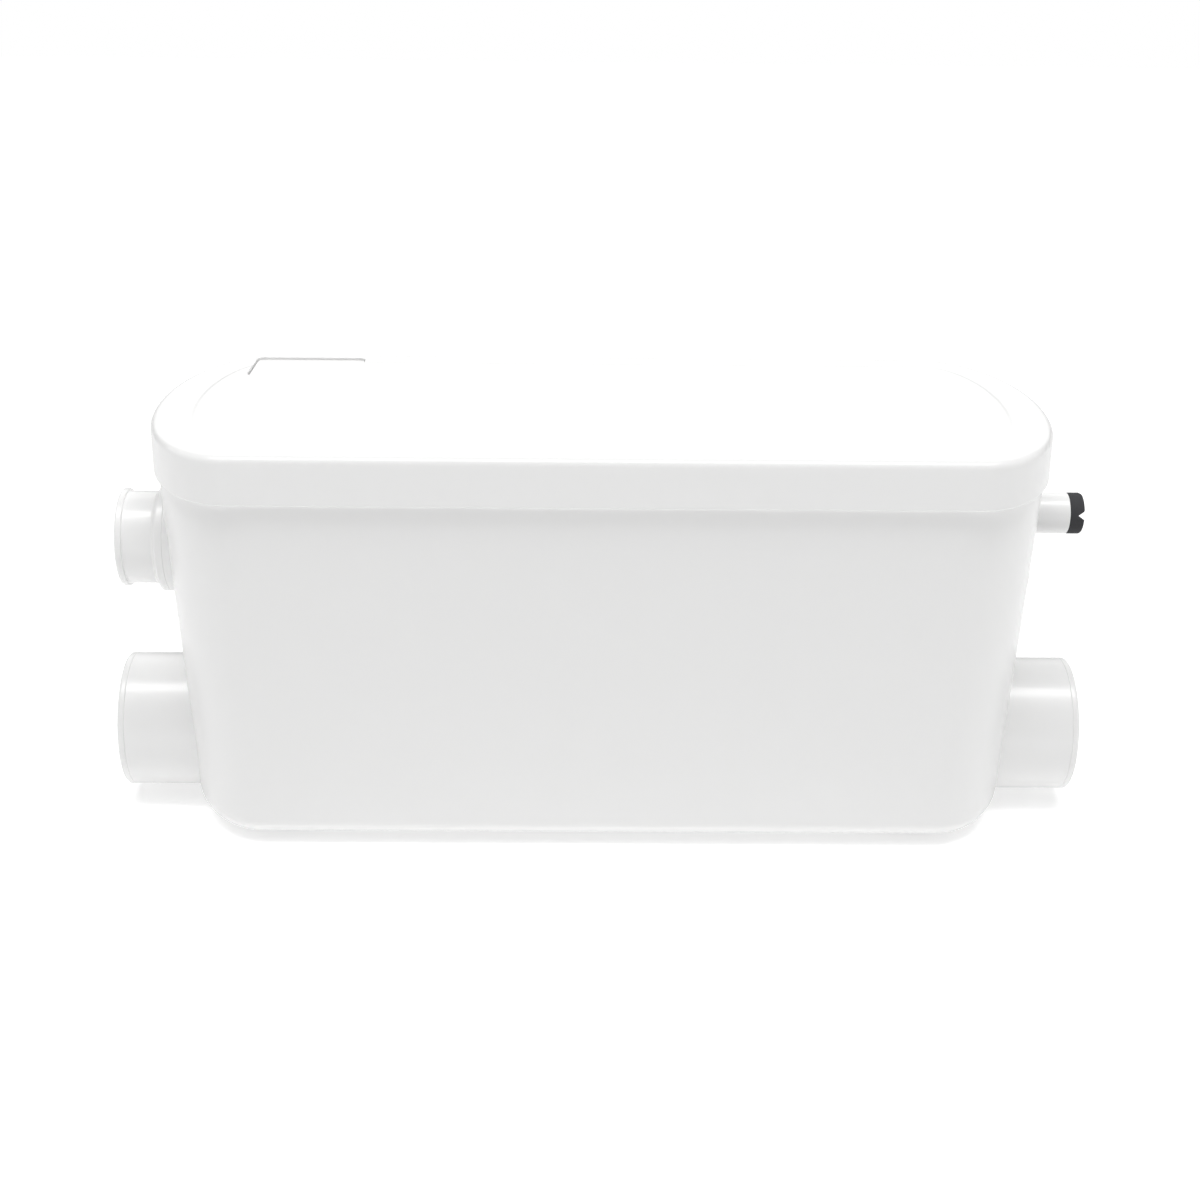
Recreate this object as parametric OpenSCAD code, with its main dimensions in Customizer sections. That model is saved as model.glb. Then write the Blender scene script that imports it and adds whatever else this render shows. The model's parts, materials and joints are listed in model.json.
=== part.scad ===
// Shower sump pump: a flat tank with a lift-off lid, two low push-fit inlets,
// a high discharge spigot, a plugged spare inlet and a small pump inside.
// Millimetres, +Z up, front at -Y, origin on the floor under the middle of the whole pump.
// Places are measured from the middle of the tank, and in_frame shifts them to the origin.

/* [Box] */
// Width of the lid over its bowed ends
lid_w = 330; // [320:1:345]
// Depth of the lid from front to back
lid_d = 147; // [144:1:160]
// Height from the floor to the top of the lid
total_h = 152.9; // [150.4:0.5:170.4]
// How far the middle panel of the lid stands up
panel_h = 0.4; // [0.2:0.1:0.8]
// Distance from the edge of the lid to its middle panel
panel_inset = 14.5; // [12:0.5:18]
// Length over which each end of the lid bows
lid_bow = 36.3; // [30:0.1:44]
// Height of the lid's skirt, without the middle panel
skirt_h = 17.5; // [15:0.5:19]
// Thickness of the tank's walls, and of the lid
wall = 3; // [2.4:0.1:3.4]
// How far the lid stands out past the tank
lid_overhang = 1.8; // [1:0.1:2.2]
// How much each side of the tank leans in from the top to the floor
tank_draft = 8.7; // [6:0.1:10]
// Length over which each end of the tank bows, at the top
tank_bow = 40; // [38:0.5:46]
// Length over which each end of the tank bows, at the floor
tank_bow_low = 30; // [26:0.5:36]
// Half the straight part of each tank end, at the top
tank_flat = 4.7; // [2.7:0.5:11.7]
// Half the straight part of each tank end, at the floor
tank_flat_low = 13; // [5:0.5:19]
// Radius of the tank's bottom edge
base_fillet = 8; // [5:0.5:10]
// Radius of the lid's top edge
lid_fillet = 3; // [1.5:0.1:4]
// Height of the rim that stands up inside the lid
rim_h = 7; // [5:0.5:8]
// Height of a rubber foot below the tank
foot_h = 3; // [2:0.5:5]
// Diameter of a rubber foot
foot_d = 16; // [10:1:20]

/* [Inlets] */
// Outside diameter of the waste pipe that pushes into each inlet
pipe_d = 40; // [36:0.5:41]
// Outside diameter of each inlet socket
socket_d = 51; // [50:0.5:54]
// Height of the inlet axis above the floor
inlet_z = 28.5; // [28:0.5:32]
// Distance of the inlet axis in front of the middle
inlet_forward = 12.6; // [0:0.2:16]
// Distance from the middle of the box to the end of each inlet
inlet_reach = 181.4; // [179:0.2:190]
// How far the pipe's stop lies inside the outside of the tank's end
stop_inset = 5.8; // [5:0.1:8]
// Width of the rounded ring that closes the end of each inlet
end_ring_w = 2.5; // [1.5:0.1:4]

/* [Discharge] */
// Height of the discharge, the spare inlet and the cable gland
port_z = 98.3; // [96:0.1:101]
// Outside diameter of the spigot's neck
neck_d = 35.2; // [34:0.1:35.6]
// Diameter of the lip at the end of the spigot
lip_d = 37.2; // [36.4:0.1:39]
// Distance from the middle of the box to the end of the spigot
spigot_reach = 181.6; // [178:0.2:190]
// Outside diameter of the discharge pipe that fits in the spigot
outlet_pipe_d = 28; // [22:0.5:29]
// Outside diameter of the moulded ring round the discharge port
port_ring_d = 41; // [40:0.5:44]
// Inside diameter of the discharge hose
hose_bore_d = 22; // [18:0.5:23]
// Wall of the discharge hose
hose_wall = 3; // [2:0.1:3.5]
// Radius of the bend in the hose, at its middle
hose_bend = 24; // [22:0.5:26]

/* [Spare inlet] */
// Diameter of the plug's flange
plug_flange_d = 44.4; // [43:0.2:48]
// Thickness of the plug's flange
plug_flange_t = 2.8; // [2:0.1:4]
// Diameter of the plug's stem
plug_stem_d = 34; // [30:0.5:36]

/* [Cable gland] */
// Outside diameter of the gland tube
gland_d = 16.5; // [15:0.5:18]
// Distance from the middle of the box to the end of the gland
gland_reach = 192.8; // [188:0.2:200]
// Distance of the gland behind the middle
gland_back = 35; // [30:1:38]
// Length of the black bush that shows at the end of the tube
bush_l = 5.8; // [4:0.1:9]
// Diameter of the mains lead that the bush takes
lead_d = 7; // [6:0.1:8]

/* [Pump] */
// Outside diameter of the motor casing
motor_d = 86; // [82:1:88]
// Height left free above the motor casing, up to the top of the lid
motor_headroom = 27.9; // [23.9:0.5:31.9]
// Diameter of the motor shaft
shaft_d = 8; // [6:0.5:9]
// Outside diameter of each ball bearing
bearing_d = 22; // [20:1:24]
// Width of each ball bearing
bearing_w = 7; // [5:0.5:8]
// Diameter of the impeller
impeller_d = 68; // [56:1:72]
// Height of the underside of the mounting plate above the floor
plate_z = 51; // [51:0.5:54]
// Thickness of the mounting plate
plate_t = 4; // [3:0.5:5]
// Length of the mounting plate
plate_w = 208; // [204:1:212]
// Distance from the mounting plate to the side of the lid
plate_side_gap = 17.5; // [16.5:0.5:19.5]
// Distance of the discharge riser to the left of the motor
riser_x = 78; // [76:0.5:82]
// Distance of the level switch to the right of the motor
switch_x = 78; // [76:0.5:80]
// Travel of the level switch's plunger
switch_travel = 2; // [1:0.1:2.2]

/* [Odour filter] */
// Width of the filter cover in the lid
filter_w = 43; // [38:1:46]
// Depth of the filter cover
filter_d = 30; // [26:1:31]
// Distance of the filter cover's middle to the left
filter_x = 116.5; // [112:0.5:118]
// Distance of the filter cover's middle from the back of the lid
filter_back = 23; // [22.5:0.5:25.5]

/* [Hidden] */
$fn = 48;
LEFT = -1;
RIGHT = 1;
overrun = 1;
slip = 0.05;
gap = 0.3;
// Points in each quarter of the tank's and the lid's outline
quarter_steps = 10;
fillet_steps = 4;

// Lid and tank outline
lid_a = lid_w / 2;
lid_b = lid_d / 2;
lid_straight = 0.5;
lid_turn = lid_b - lid_straight;
tank_a = lid_a - lid_overhang;
tank_b = lid_b - lid_overhang;
tank_turn = tank_b - tank_flat;
tank_turn_low = tank_b - tank_draft - tank_flat_low;
edge_top_z = total_h - panel_h;
panel_slope = 2;
floor_z = foot_h + wall;
lid_low_z = edge_top_z - skirt_h;
tank_top_z = lid_low_z - gap;
ceiling_z = edge_top_z - wall;
rim_inset = 2;
rim_t = 2.5;
rim_root = 4;
seal_t = 2;
rim_top_z = tank_top_z + rim_h;
seal_top_z = rim_top_z + seal_t;
foot_recess = 1;
foot_x = 118;
foot_y = 40;

// Inlets
inlet_y = -inlet_forward;
socket_r = socket_d / 2;
pipe_clear = 0.3;
pipe_bore_r = pipe_d / 2 + pipe_clear;
stop_x = wall_x_at(inlet_z) - stop_inset;
stop_step = 2.3;
stop_w = 4;
stop_r = pipe_bore_r - stop_step;
sleeve_in_x = stop_x - stop_w;
ring_sleeve_t = 1.8;
ring_sleeve_l = 6;
seal_w = 5;
seal_groove_r = pipe_bore_r + slip + ring_sleeve_t + slip;
socket_end_x = inlet_reach - end_ring_w;
groove_in_x = socket_end_x - ring_sleeve_l - seal_w;
ring_edge_r = 1.6;
seat_t = 4;
seat_inset = 3;
seat_r = socket_r - seat_inset;
seat_x = sleeve_in_x - seat_t;
flap_t = 2;
flap_lap = 2;
flap_r = stop_r + flap_lap;
flap_x = seat_x - gap - flap_t;
flap_pin_r = 1.5;
knuckle_r = 2.7;
knuckle_half_w = 8;
ear_t = 3;
ear_r = 3.4;
flap_pin_x = flap_x + flap_t / 2;
flap_pin_z = inlet_z + seat_r + gap + knuckle_r;
flap_pin_half = knuckle_half_w + gap + ear_t + gap;

// Upper ports
port_proud = 2.7;
port_sink = 6.8;
port_face_x = wall_x_at(port_z) + port_proud;
port_in_x = wall_x_at(port_z) - port_sink;
port_boss_r = 26;
neck_r = neck_d / 2;
lip_r = lip_d / 2;
lip_w = 2.5;
lip_edge = 0.8;
outlet_clear = 0.2;
outlet_r = outlet_pipe_d / 2 + outlet_clear;
port_ring_r = port_ring_d / 2;
collar_flat = 2.2;
collar_flare = 2.7;
flare_steps = 5;
nut_gap = 0.2;
nut_t = 4.4;
nut_r = 23;
valve_r = 20;
valve_chamber_r = 16.5;
valve_chamber_l = 19;
valve_seat_t = 4;
valve_socket_l = 7.8;
valve_out_x = port_in_x - nut_gap - nut_t - nut_gap;
valve_tail_x = valve_out_x - valve_socket_l;
valve_seat_x = valve_tail_x - valve_chamber_l;
valve_in_x = valve_seat_x - valve_seat_t;
barb_l = 14;
barb_r = hose_bore_d / 2 - slip;
barb_wall = 3;
barb_bore_r = barb_r - barb_wall;
check_lap = 2.6;
check_flap_r = barb_bore_r + check_lap;
check_flap_t = 2;
check_boss_r = 7;
check_boss_t = 3.5;
check_pin_r = 1.25;
check_knuckle_r = 2.3;
check_knuckle_half = 7;
check_pin_half = 13;
check_pin_x = valve_seat_x + gap + check_knuckle_r;
check_pin_z = port_z + check_flap_r + check_knuckle_r / 4;
hose_r = hose_bore_d / 2 + hose_wall;
hose_rise = 2;
hose_low_z = plate_z + plate_t + hose_rise;
riser_grip = 10;
hose_end_x = valve_in_x - gap;
clamp_band_w = 8;
clamp_band_t = 1;
clamp_box = [7, 5, 8];
clamp_inset = 1.5;
plug_sink = 3.1;
plug_seat_x = wall_x_at(port_z) - plug_sink;
plug_r = plug_flange_d / 2;
plug_stem_r = plug_stem_d / 2;
plug_stem_l = 12;
plug_wall = 3;
plug_lip_w = 1;

// Odour filter, in a tray under the lid
filter_y = lid_b - filter_back;
filter_inset = 4.5;
filter_seat_t = 2.2;
filter_sink = 0.7;
filter_corner_r = 3;
tray_narrow = 2;
tray_w = filter_w - 2 * filter_inset - tray_narrow;
tray_d = filter_d - 2 * filter_inset;
tray_t = 1.5;
tray_h = 11;
tray_y = filter_y - filter_inset / 2;
tray_low_z = ceiling_z - tray_h;
tray_bars = 4;
tray_bar_w = 2;
cartridge_h = tray_h - tray_t;
tray_pitch = tray_w / (tray_bars + 1);

// Cable gland
gland_r = gland_d / 2;
gland_rise = 0.7;
gland_z = port_z + gland_rise;
gland_proud = 0.1;
gland_sink = 11.9;
gland_face_x = wall_x_at(gland_z) + gland_proud;
gland_in_x = wall_x_at(gland_z) - gland_sink;
gland_boss_r = 13;
gland_ring_t = 2;
gland_ring_r = gland_r + gland_ring_t;
gland_nut_t = 5;
gland_nut_r = 12;
gland_tail = 7;
gland_bore_r = 5.2;
bush_tail_l = 9;
bush_notch_w = 3.8;
bush_notch_l = 2.7;
bush_notch_turn = 10.5;
bush_edge = 1;
lead_clear = 0.2;

// Mounting plate and its fixings
plate_top_z = plate_z + plate_t;
plate_d = lid_d - 2 * plate_side_gap;
plate_corner_r = 14;
post_x = 60;
post_inset = 9;
post_y = plate_d / 2 - post_inset;
post_r = 6;
grommet_h = 4;
post_top_z = plate_z - grommet_h;
screw_r = 2;
screw_head_r = 3.8;
screw_head_h = 2.6;
screw_bite = 14;
screw_slot_w = 1;
screw_slot_h = 0.9;

// Motor
motor_r = motor_d / 2;
motor_wall = 2.5;
motor_h = total_h - motor_headroom - plate_top_z;
motor_in_r = motor_r - motor_wall;
motor_floor_t = 3;
flange_t = 4;
flange_w = 9;
flange_r = motor_r + flange_w;
flange_screw_out = 4.4;
flange_screw_r = motor_r + flange_screw_out;
flange_screw_angles = [0, 90, 180, 270];
motor_top_z = plate_top_z + motor_h;
cover_t = 4;
lug_r = 4.6;
lug_h = 12;
lug_out = 2.6;
lug_place_r = motor_r + lug_out;
lug_angles = [45, 135, 225, 315];
cover_screw_r = 1.6;
screw_end_gap = 2;
bearing_r = bearing_d / 2;
bearing_wall = 3;
bearing_shoulder = 1.5;
lower_bearing_z = plate_top_z + motor_floor_t;
upper_bearing_drop = 12;
upper_bearing_z = motor_top_z - upper_bearing_drop;
shaft_r = shaft_d / 2;
shaft_lift = 14;
shaft_low_z = floor_z + shaft_lift;
stator_lift = 16;
stator_drop = 18;
stator_h = motor_h - stator_lift - stator_drop;
stator_z = plate_top_z + stator_lift;
stator_in_r = 24;
air_gap = 0.5;
rotor_r = stator_in_r - air_gap;
slots = 12;
slot_w = 5;
slot_depth = 9;
winding_h = 8;
winding_in_r = 26;
winding_out_r = 37.5;
winding_edge = 3;
end_ring_h = 3;

// Pump
neck_seal_r = 11;
shaft_seal_h = 6;
gasket_t = 1;
volute_flange_t = 4;
volute_r = 42;
volute_wall = 3.5;
volute_lift = 10.5;
volute_low_z = floor_z + volute_lift;
chamber_h = 17.5;
volute_roof_z = volute_low_z + chamber_h;
volute_roof_t = 4;
volute_neck_r = 16;
volute_flange_z = plate_z - gasket_t - volute_flange_t;
outlet_offset = 26;
outlet_rise = 11.5;
outlet_z = volute_low_z + outlet_rise;
outlet_pipe_r = hose_bore_d / 2 - slip;
outlet_wall = 3.4;
outlet_bore_r = outlet_pipe_r - outlet_wall;
riser_wall = 3;
riser_bore_r = outlet_pipe_r - riser_wall;
elbow_wall = 2;
elbow_r = outlet_pipe_r + elbow_wall;
outlet_turn = asin(outlet_offset / riser_x);
outlet_run = sqrt(pow(riser_x, 2) - pow(outlet_offset, 2));
impeller_r = impeller_d / 2;
shroud_t = 2.5;
shroud_lift = 12.5;
shroud_z = volute_low_z + shroud_lift;
vane_lift = 3.5;
vane_z = volute_low_z + vane_lift;
hub_clear = 1.3;
vanes = 6;
vane_t = 2.2;
vane_sweep = 55;
vane_steps = 6;
vane_end_inset = 0.5;
hub_r = 7;
eye_r = 13;
strainer_plate_t = 2.5;
strainer_ring_inset = 1;
strainer_ring_r = volute_r - strainer_ring_inset;
strainer_band = 1;
strainer_floor_gap = 0.6;
strainer_wall = 2.5;
tooth_gap_w = 3;
teeth = 24;
strainer_screw_angles = [30, 110, 210, 300];
strainer_boss_r = 4.2;
strainer_boss_sink = 1.2;
strainer_screw_place = volute_r + strainer_boss_r - strainer_boss_sink;
strainer_r = strainer_screw_place + strainer_boss_r;
strainer_boss_h = 12;
small_screw_r = 1.5;
small_head_r = 2.8;
small_head_h = 1.8;

// Electrical parts
capacitor_r = 13;
capacitor_h = 48;
capacitor_x = 84;
capacitor_inset = 17;
capacitor_y = capacitor_inset - plate_d / 2;
capacitor_edge = 2;
clip_t = 1.5;
clip_h = 14;
tag_w = 4;
tag_t = 0.8;
tag_h = 6;
terminal_size = [34, 16, 13];
terminal_x = 82.5;
terminal_inset = 12;
terminal_y = plate_d / 2 - terminal_inset;
terminal_ways = 3;
terminal_bore_r = 2;
terminal_recess = 2;
terminal_shank = 1;
cord_clamp_x = 98;
cord_clamp_y = 25;
saddle_half = 10;
saddle_w = 8;
saddle_t = 3;

// Level switch
dip_r = 15;
dip_wall = 2.5;
dip_lift = 5;
dip_low_z = floor_z + dip_lift;
dip_flange_r = 21;
dip_flange_t = 4;
housing_r = 21;
housing_wall = 2.5;
housing_h = 17;
diaphragm_t = 1.2;
diaphragm_r = housing_r;
piston_r = 10;
piston_t = 1.5;
stem_r = 3;
housing_low_z = plate_top_z + diaphragm_t;
housing_top_z = housing_low_z + housing_h;
stem_proud = 5;
stem_top_z = housing_top_z + stem_proud;
tip_r = 0.8;
tip_h = 2;
lever_t = 0.8;
lever_half_w = 3;
lever_arm = 12;
lever_end = lever_arm + stem_r;
lever_pin_r = 0.8;
lever_knuckle_r = 1.7;
lever_z = stem_top_z + slip;
lever_pin_x = switch_x + lever_arm;
lever_pin_z = lever_z + lever_t / 2;
micro_size = [24, 13, 10];
micro_ear_t = 2;
micro_z = lever_z + lever_t + lever_rise(lever_end) + gap;
micro_offset = 5;
micro_x = switch_x - micro_offset;
bracket_t = 3;
button_r = 1.2;
button_offset = 4;
button_x = switch_x + button_offset;
button_low_z = lever_z + lever_t + lever_rise(lever_pin_x - button_x + button_r) + gap / 2;

ABS_WHITE = [0.93, 0.93, 0.92];
RUBBER = [0.12, 0.12, 0.12];
STEEL = [0.72, 0.73, 0.75];
BRASS = [0.78, 0.62, 0.32];
COPPER = [0.75, 0.42, 0.22];
GREY_PLASTIC = [0.45, 0.47, 0.5];
CARBON = [0.2, 0.2, 0.21];

// How far the switch's lever rises at a distance from its pin, when the plunger is up
function lever_rise(reach) = reach * switch_travel / (lever_arm - tip_r);

// Shifts a piece from the middle of the tank to the middle of the whole pump
module in_frame() {
    translate([(max(spigot_reach, inlet_reach) - gland_reach) / 2, 0, 0])
        children();
}

// One corner of an outline whose ends bow: a straight front, then a quarter of an ellipse
function quarter(a, b, bow, turn, qx, qy, turn_from) =
    [for (i = [0:quarter_steps])
        let (t = turn_from + 90 * i / quarter_steps)
        [qx * (a - bow) + bow * cos(t), qy * (b - turn) + turn * sin(t)]];

// The whole outline, counter-clockwise from the right-hand end
function outline(a, b, bow, turn) = concat(
    quarter(a, b, bow, turn, 1, 1, 0),
    quarter(a, b, bow, turn, -1, 1, 90),
    quarter(a, b, bow, turn, -1, -1, 180),
    quarter(a, b, bow, turn, 1, -1, 270));

function lifted(points, z) = [for (p = points) [p[0], p[1], z]];

function lid_outline(inset) =
    outline(lid_a - inset, lid_b - inset, lid_bow - inset, lid_turn - inset);

// The tank narrows from its top to the floor, so each height has its own outline
function tank_outline(z, inset) =
    let (share = (z - foot_h) / (tank_top_z - foot_h))
    outline(tank_a - tank_draft * (1 - share) - inset,
        tank_b - tank_draft * (1 - share) - inset,
        tank_bow_low + (tank_bow - tank_bow_low) * share - inset,
        tank_turn_low + (tank_turn - tank_turn_low) * share - inset);

// Rings of a bottom edge rounded by r, that starts at height z
function low_edge(z, r, inset) = [for (i = [0:fillet_steps])
    let (t = 90 * i / fillet_steps, h = z + r * (1 - cos(t)))
    lifted(tank_outline(h, inset + r * (1 - sin(t))), h)];

// A closed solid through a stack of outlines with equally many points
module loft(rings) {
    n = len(rings[0]);
    last = (len(rings) - 1) * n;
    sides = [for (k = [0:len(rings) - 2]) for (i = [0:n - 1])
        let (j = (i + 1) % n, low = k * n, high = low + n)
        each [[low + i, high + j, low + j], [low + i, high + i, high + j]]];
    polyhedron(
        points = [for (ring = rings) each ring],
        faces = concat(sides, [[for (i = [0:n - 1]) i]], [[for (i = [n - 1:-1:0]) last + i]]),
        convexity = 6);
}

// A cylinder along X on one side of the box, from distance x0 to distance x1
module side_cyl(side, x0, x1, r, y, z) {
    translate([side > 0 ? x0 : -x1, y, z])
        rotate([0, 90, 0])
            cylinder(h = x1 - x0, r = r);
}

// A cylinder along Y, centred on y
module cross_cyl(x, y, z, half, r) {
    translate([x, y + half, z])
        rotate([90, 0, 0])
            cylinder(h = 2 * half, r = r);
}

// A shape turned about the X axis: points are [distance from the middle, radius]
module side_turned(side, points, y, z) {
    translate([0, y, z])
        rotate([0, 90 * side, 0])
            rotate_extrude()
                polygon([for (p = points) [p[1], p[0]]]);
}

module ring(h, r, bore) {
    difference() {
        cylinder(h = h, r = r);
        translate([0, 0, -overrun])
            cylinder(h = h + 2 * overrun, r = bore);
    }
}

// A rounded rectangular slab that stands on the XY plane
module slab(w, d, h, r) {
    linear_extrude(height = h)
        hull()
            for (x = [-1, 1], y = [-1, 1])
                translate([x * (w / 2 - r), y * (d / 2 - r)])
                    circle(r = r, $fn = 32);
}

// A pan-head screw with a slot; its head starts at z = 0 and its shank hangs down
module screw(r, head_r, head_h, shank) {
    difference() {
        union() {
            cylinder(h = head_h, r = head_r);
            translate([0, 0, -shank])
                cylinder(h = shank + head_h / 2, r = r);
        }
        translate([-head_r - overrun, -screw_slot_w / 2, head_h - screw_slot_h])
            cube([2 * (head_r + overrun), screw_slot_w, screw_slot_h + overrun]);
    }
}

module at_posts() {
    for (x = [-1, 1], y = [-1, 1])
        translate([x * post_x, y * post_y, 0])
            children();
}

module round_places(angles, r) {
    for (a = angles)
        rotate([0, 0, a])
            translate([r, 0, 0])
                children();
}

module tank() {
    color(ABS_WHITE)
    in_frame()
    difference() {
        union() {
            difference() {
                loft(concat(low_edge(foot_h, base_fillet, 0),
                    [lifted(tank_outline(tank_top_z, 0), tank_top_z)]));
                loft(concat(low_edge(floor_z, base_fillet - wall, wall),
                    [lifted(tank_outline(tank_top_z, wall), tank_top_z),
                        lifted(tank_outline(tank_top_z, wall), tank_top_z + overrun)]));
            }
            tank_rim();
            for (side = [LEFT, RIGHT]) {
                side_cyl(side, sleeve_in_x, socket_end_x, socket_r, inlet_y, inlet_z);
                side_cyl(side, port_in_x, wall_x_at(port_z) - wall / 2, port_boss_r, 0, port_z);
            }
            side_cyl(LEFT, port_in_x, port_face_x, port_ring_r, 0, port_z);
            side_cyl(RIGHT, gland_in_x, gland_face_x, gland_ring_r, gland_back, gland_z);
            side_cyl(RIGHT, gland_in_x, gland_in_x + wall, gland_boss_r, gland_back, gland_z);
            at_posts()
                translate([0, 0, floor_z - wall / 2])
                    cylinder(h = post_top_z - floor_z + wall / 2, r = post_r);
        }
        for (side = [LEFT, RIGHT])
            inlet_bores(side);
        side_cyl(LEFT, port_in_x - overrun, port_face_x + overrun, neck_r + slip, 0, port_z);
        side_cyl(RIGHT, port_in_x - overrun, plug_seat_x + overrun,
            plug_stem_r + gap, 0, port_z);
        side_cyl(RIGHT, plug_seat_x, wall_x_at(port_z) + wall, plug_r + gap, 0, port_z);
        side_cyl(RIGHT, gland_in_x - overrun, gland_face_x + overrun,
            gland_r + slip, gland_back, gland_z);
        at_posts()
            translate([0, 0, post_top_z - screw_bite])
                cylinder(h = screw_bite + overrun, r = screw_r + slip);
        for (x = [-1, 1], y = [-1, 1])
            translate([x * foot_x, y * foot_y, foot_h - overrun])
                cylinder(h = foot_recess + overrun, r = foot_d / 2 + slip);
    }
}

// Distance from the middle to the outside of the end wall at height z
function wall_x_at(z) = tank_a - tank_draft * (tank_top_z - z) / (tank_top_z - foot_h);

module tank_rim() {
    translate([0, 0, tank_top_z - rim_root])
        linear_extrude(height = rim_root + rim_h)
            difference() {
                polygon(tank_outline(tank_top_z, rim_inset));
                polygon(tank_outline(tank_top_z, rim_inset + rim_t));
            }
}

// The pipe bore with its seal groove and pipe stop, cut into one socket
module inlet_bores(side) {
    side_cyl(side, sleeve_in_x - overrun, inlet_reach, stop_r, inlet_y, inlet_z);
    side_cyl(side, stop_x, inlet_reach, pipe_bore_r, inlet_y, inlet_z);
    side_cyl(side, groove_in_x, inlet_reach, seal_groove_r, inlet_y, inlet_z);
}

module rubber_feet() {
    color(RUBBER)
    in_frame()
    for (x = [-1, 1], y = [-1, 1])
        translate([x * foot_x, y * foot_y, 0])
            cylinder(h = foot_h + foot_recess, r = foot_d / 2);
}

module tank_seal() {
    color(RUBBER)
    in_frame()
    translate([0, 0, rim_top_z])
        linear_extrude(height = seal_t)
            difference() {
                polygon(tank_outline(tank_top_z, rim_inset));
                polygon(tank_outline(tank_top_z, rim_inset + rim_t));
            }
}

module lid() {
    color(ABS_WHITE)
    in_frame()
    difference() {
        union() {
            difference() {
                loft(concat([lifted(lid_outline(0), lid_low_z)], lid_top_edge(), [
                    lifted(lid_outline(panel_inset), edge_top_z),
                    lifted(lid_outline(panel_inset + panel_slope), total_h)]));
                loft([lifted(lid_outline(wall), lid_low_z - overrun),
                    lifted(lid_outline(wall), ceiling_z)]);
            }
            translate([0, 0, seal_top_z + gap])
                linear_extrude(height = ceiling_z - seal_top_z - gap + wall / 2)
                    difference() {
                        polygon(tank_outline(tank_top_z, rim_inset));
                        polygon(tank_outline(tank_top_z, rim_inset + rim_t));
                    }
            translate([-filter_x, tray_y, tray_low_z - tray_t])
                slab(tray_w + 2 * tray_t, tray_d + 2 * tray_t, tray_h + 2 * tray_t, tray_t);
        }
        translate([-filter_x, filter_y, edge_top_z - filter_seat_t])
            slab(filter_w + 2 * gap, filter_d + 2 * gap, filter_seat_t + panel_h + overrun,
                filter_corner_r);
        translate([-filter_x, tray_y, tray_low_z])
            slab(tray_w, tray_d, tray_h + wall + overrun, tray_t / 2);
        for (i = [0:tray_bars])
            translate([-filter_x - tray_w / 2 + tray_bar_w / 2 + i * tray_pitch,
                    tray_y - tray_d / 2 + tray_bar_w / 2, tray_low_z - tray_t - overrun])
                cube([tray_pitch - tray_bar_w, tray_d - tray_bar_w, tray_t + 2 * overrun]);
    }
}

// Rings of the lid's rounded top edge
function lid_top_edge() = [for (i = [0:fillet_steps])
    let (t = 90 * i / fillet_steps)
    lifted(lid_outline(lid_fillet * (1 - cos(t))), edge_top_z - lid_fillet * (1 - sin(t)))];

module filter_cover() {
    color(ABS_WHITE)
    in_frame()
    union() {
        translate([-filter_x, filter_y, edge_top_z - filter_seat_t])
            slab(filter_w, filter_d, filter_seat_t - filter_sink, filter_corner_r);
        translate([-filter_x, tray_y, ceiling_z])
            difference() {
                slab(tray_w - 2 * gap, tray_d - 2 * gap, wall - filter_seat_t / 2, tray_t / 2);
                translate([0, 0, -overrun])
                    slab(tray_w - 2 * gap - 2 * tray_t, tray_d - 2 * gap - 2 * tray_t,
                        wall - filter_seat_t + overrun, tray_t / 2);
            }
    }
}

module carbon_filter() {
    color(CARBON)
    in_frame()
    translate([-filter_x, tray_y, ceiling_z - cartridge_h])
        slab(tray_w - 2 * gap, tray_d - 2 * gap, cartridge_h, tray_t / 2);
}

module inlet_seal(side) {
    color(RUBBER)
    in_frame()
    side_turned(side, [
        [groove_in_x, pipe_bore_r + slip],
        [groove_in_x + seal_w, pipe_bore_r + slip],
        [groove_in_x + seal_w, seal_groove_r - slip],
        [groove_in_x, seal_groove_r - slip]], inlet_y, inlet_z);
}

// The ring that traps the seal: a short sleeve in the socket and a rounded rim outside
module end_ring(side) {
    color(ABS_WHITE)
    in_frame()
    side_turned(side, concat([
        [socket_end_x - ring_sleeve_l, pipe_bore_r + slip],
        [socket_end_x - ring_sleeve_l, seal_groove_r - slip],
        [socket_end_x, seal_groove_r - slip],
        [socket_end_x, socket_r]],
        [for (i = [0:fillet_steps])
            let (t = 90 * i / fillet_steps)
            [inlet_reach - ring_edge_r * (1 - sin(t)), socket_r - ring_edge_r * (1 - cos(t))]],
        [[inlet_reach, pipe_bore_r + slip]]), inlet_y, inlet_z);
}

module inlet_seat(side) {
    color(ABS_WHITE)
    in_frame()
    difference() {
        union() {
            side_cyl(side, seat_x, sleeve_in_x, seat_r, inlet_y, inlet_z);
            for (e = [-1, 1]) {
                ear_y = inlet_y + e * (knuckle_half_w + gap + ear_t / 2);
                cross_cyl(side * flap_pin_x, ear_y, flap_pin_z, ear_t / 2, ear_r);
                translate([side > 0 ? flap_pin_x : -sleeve_in_x, ear_y - ear_t / 2,
                        flap_pin_z - ear_r])
                    cube([sleeve_in_x - flap_pin_x, ear_t, 2 * ear_r]);
                translate([side > 0 ? seat_x : -sleeve_in_x, ear_y - ear_t / 2,
                        inlet_z + stop_r])
                    cube([seat_t, ear_t, flap_pin_z - inlet_z - stop_r]);
            }
        }
        side_cyl(side, seat_x - overrun, sleeve_in_x + overrun, stop_r, inlet_y, inlet_z);
        cross_cyl(side * flap_pin_x, inlet_y, flap_pin_z, flap_pin_half + overrun,
            flap_pin_r + slip);
    }
}

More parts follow.
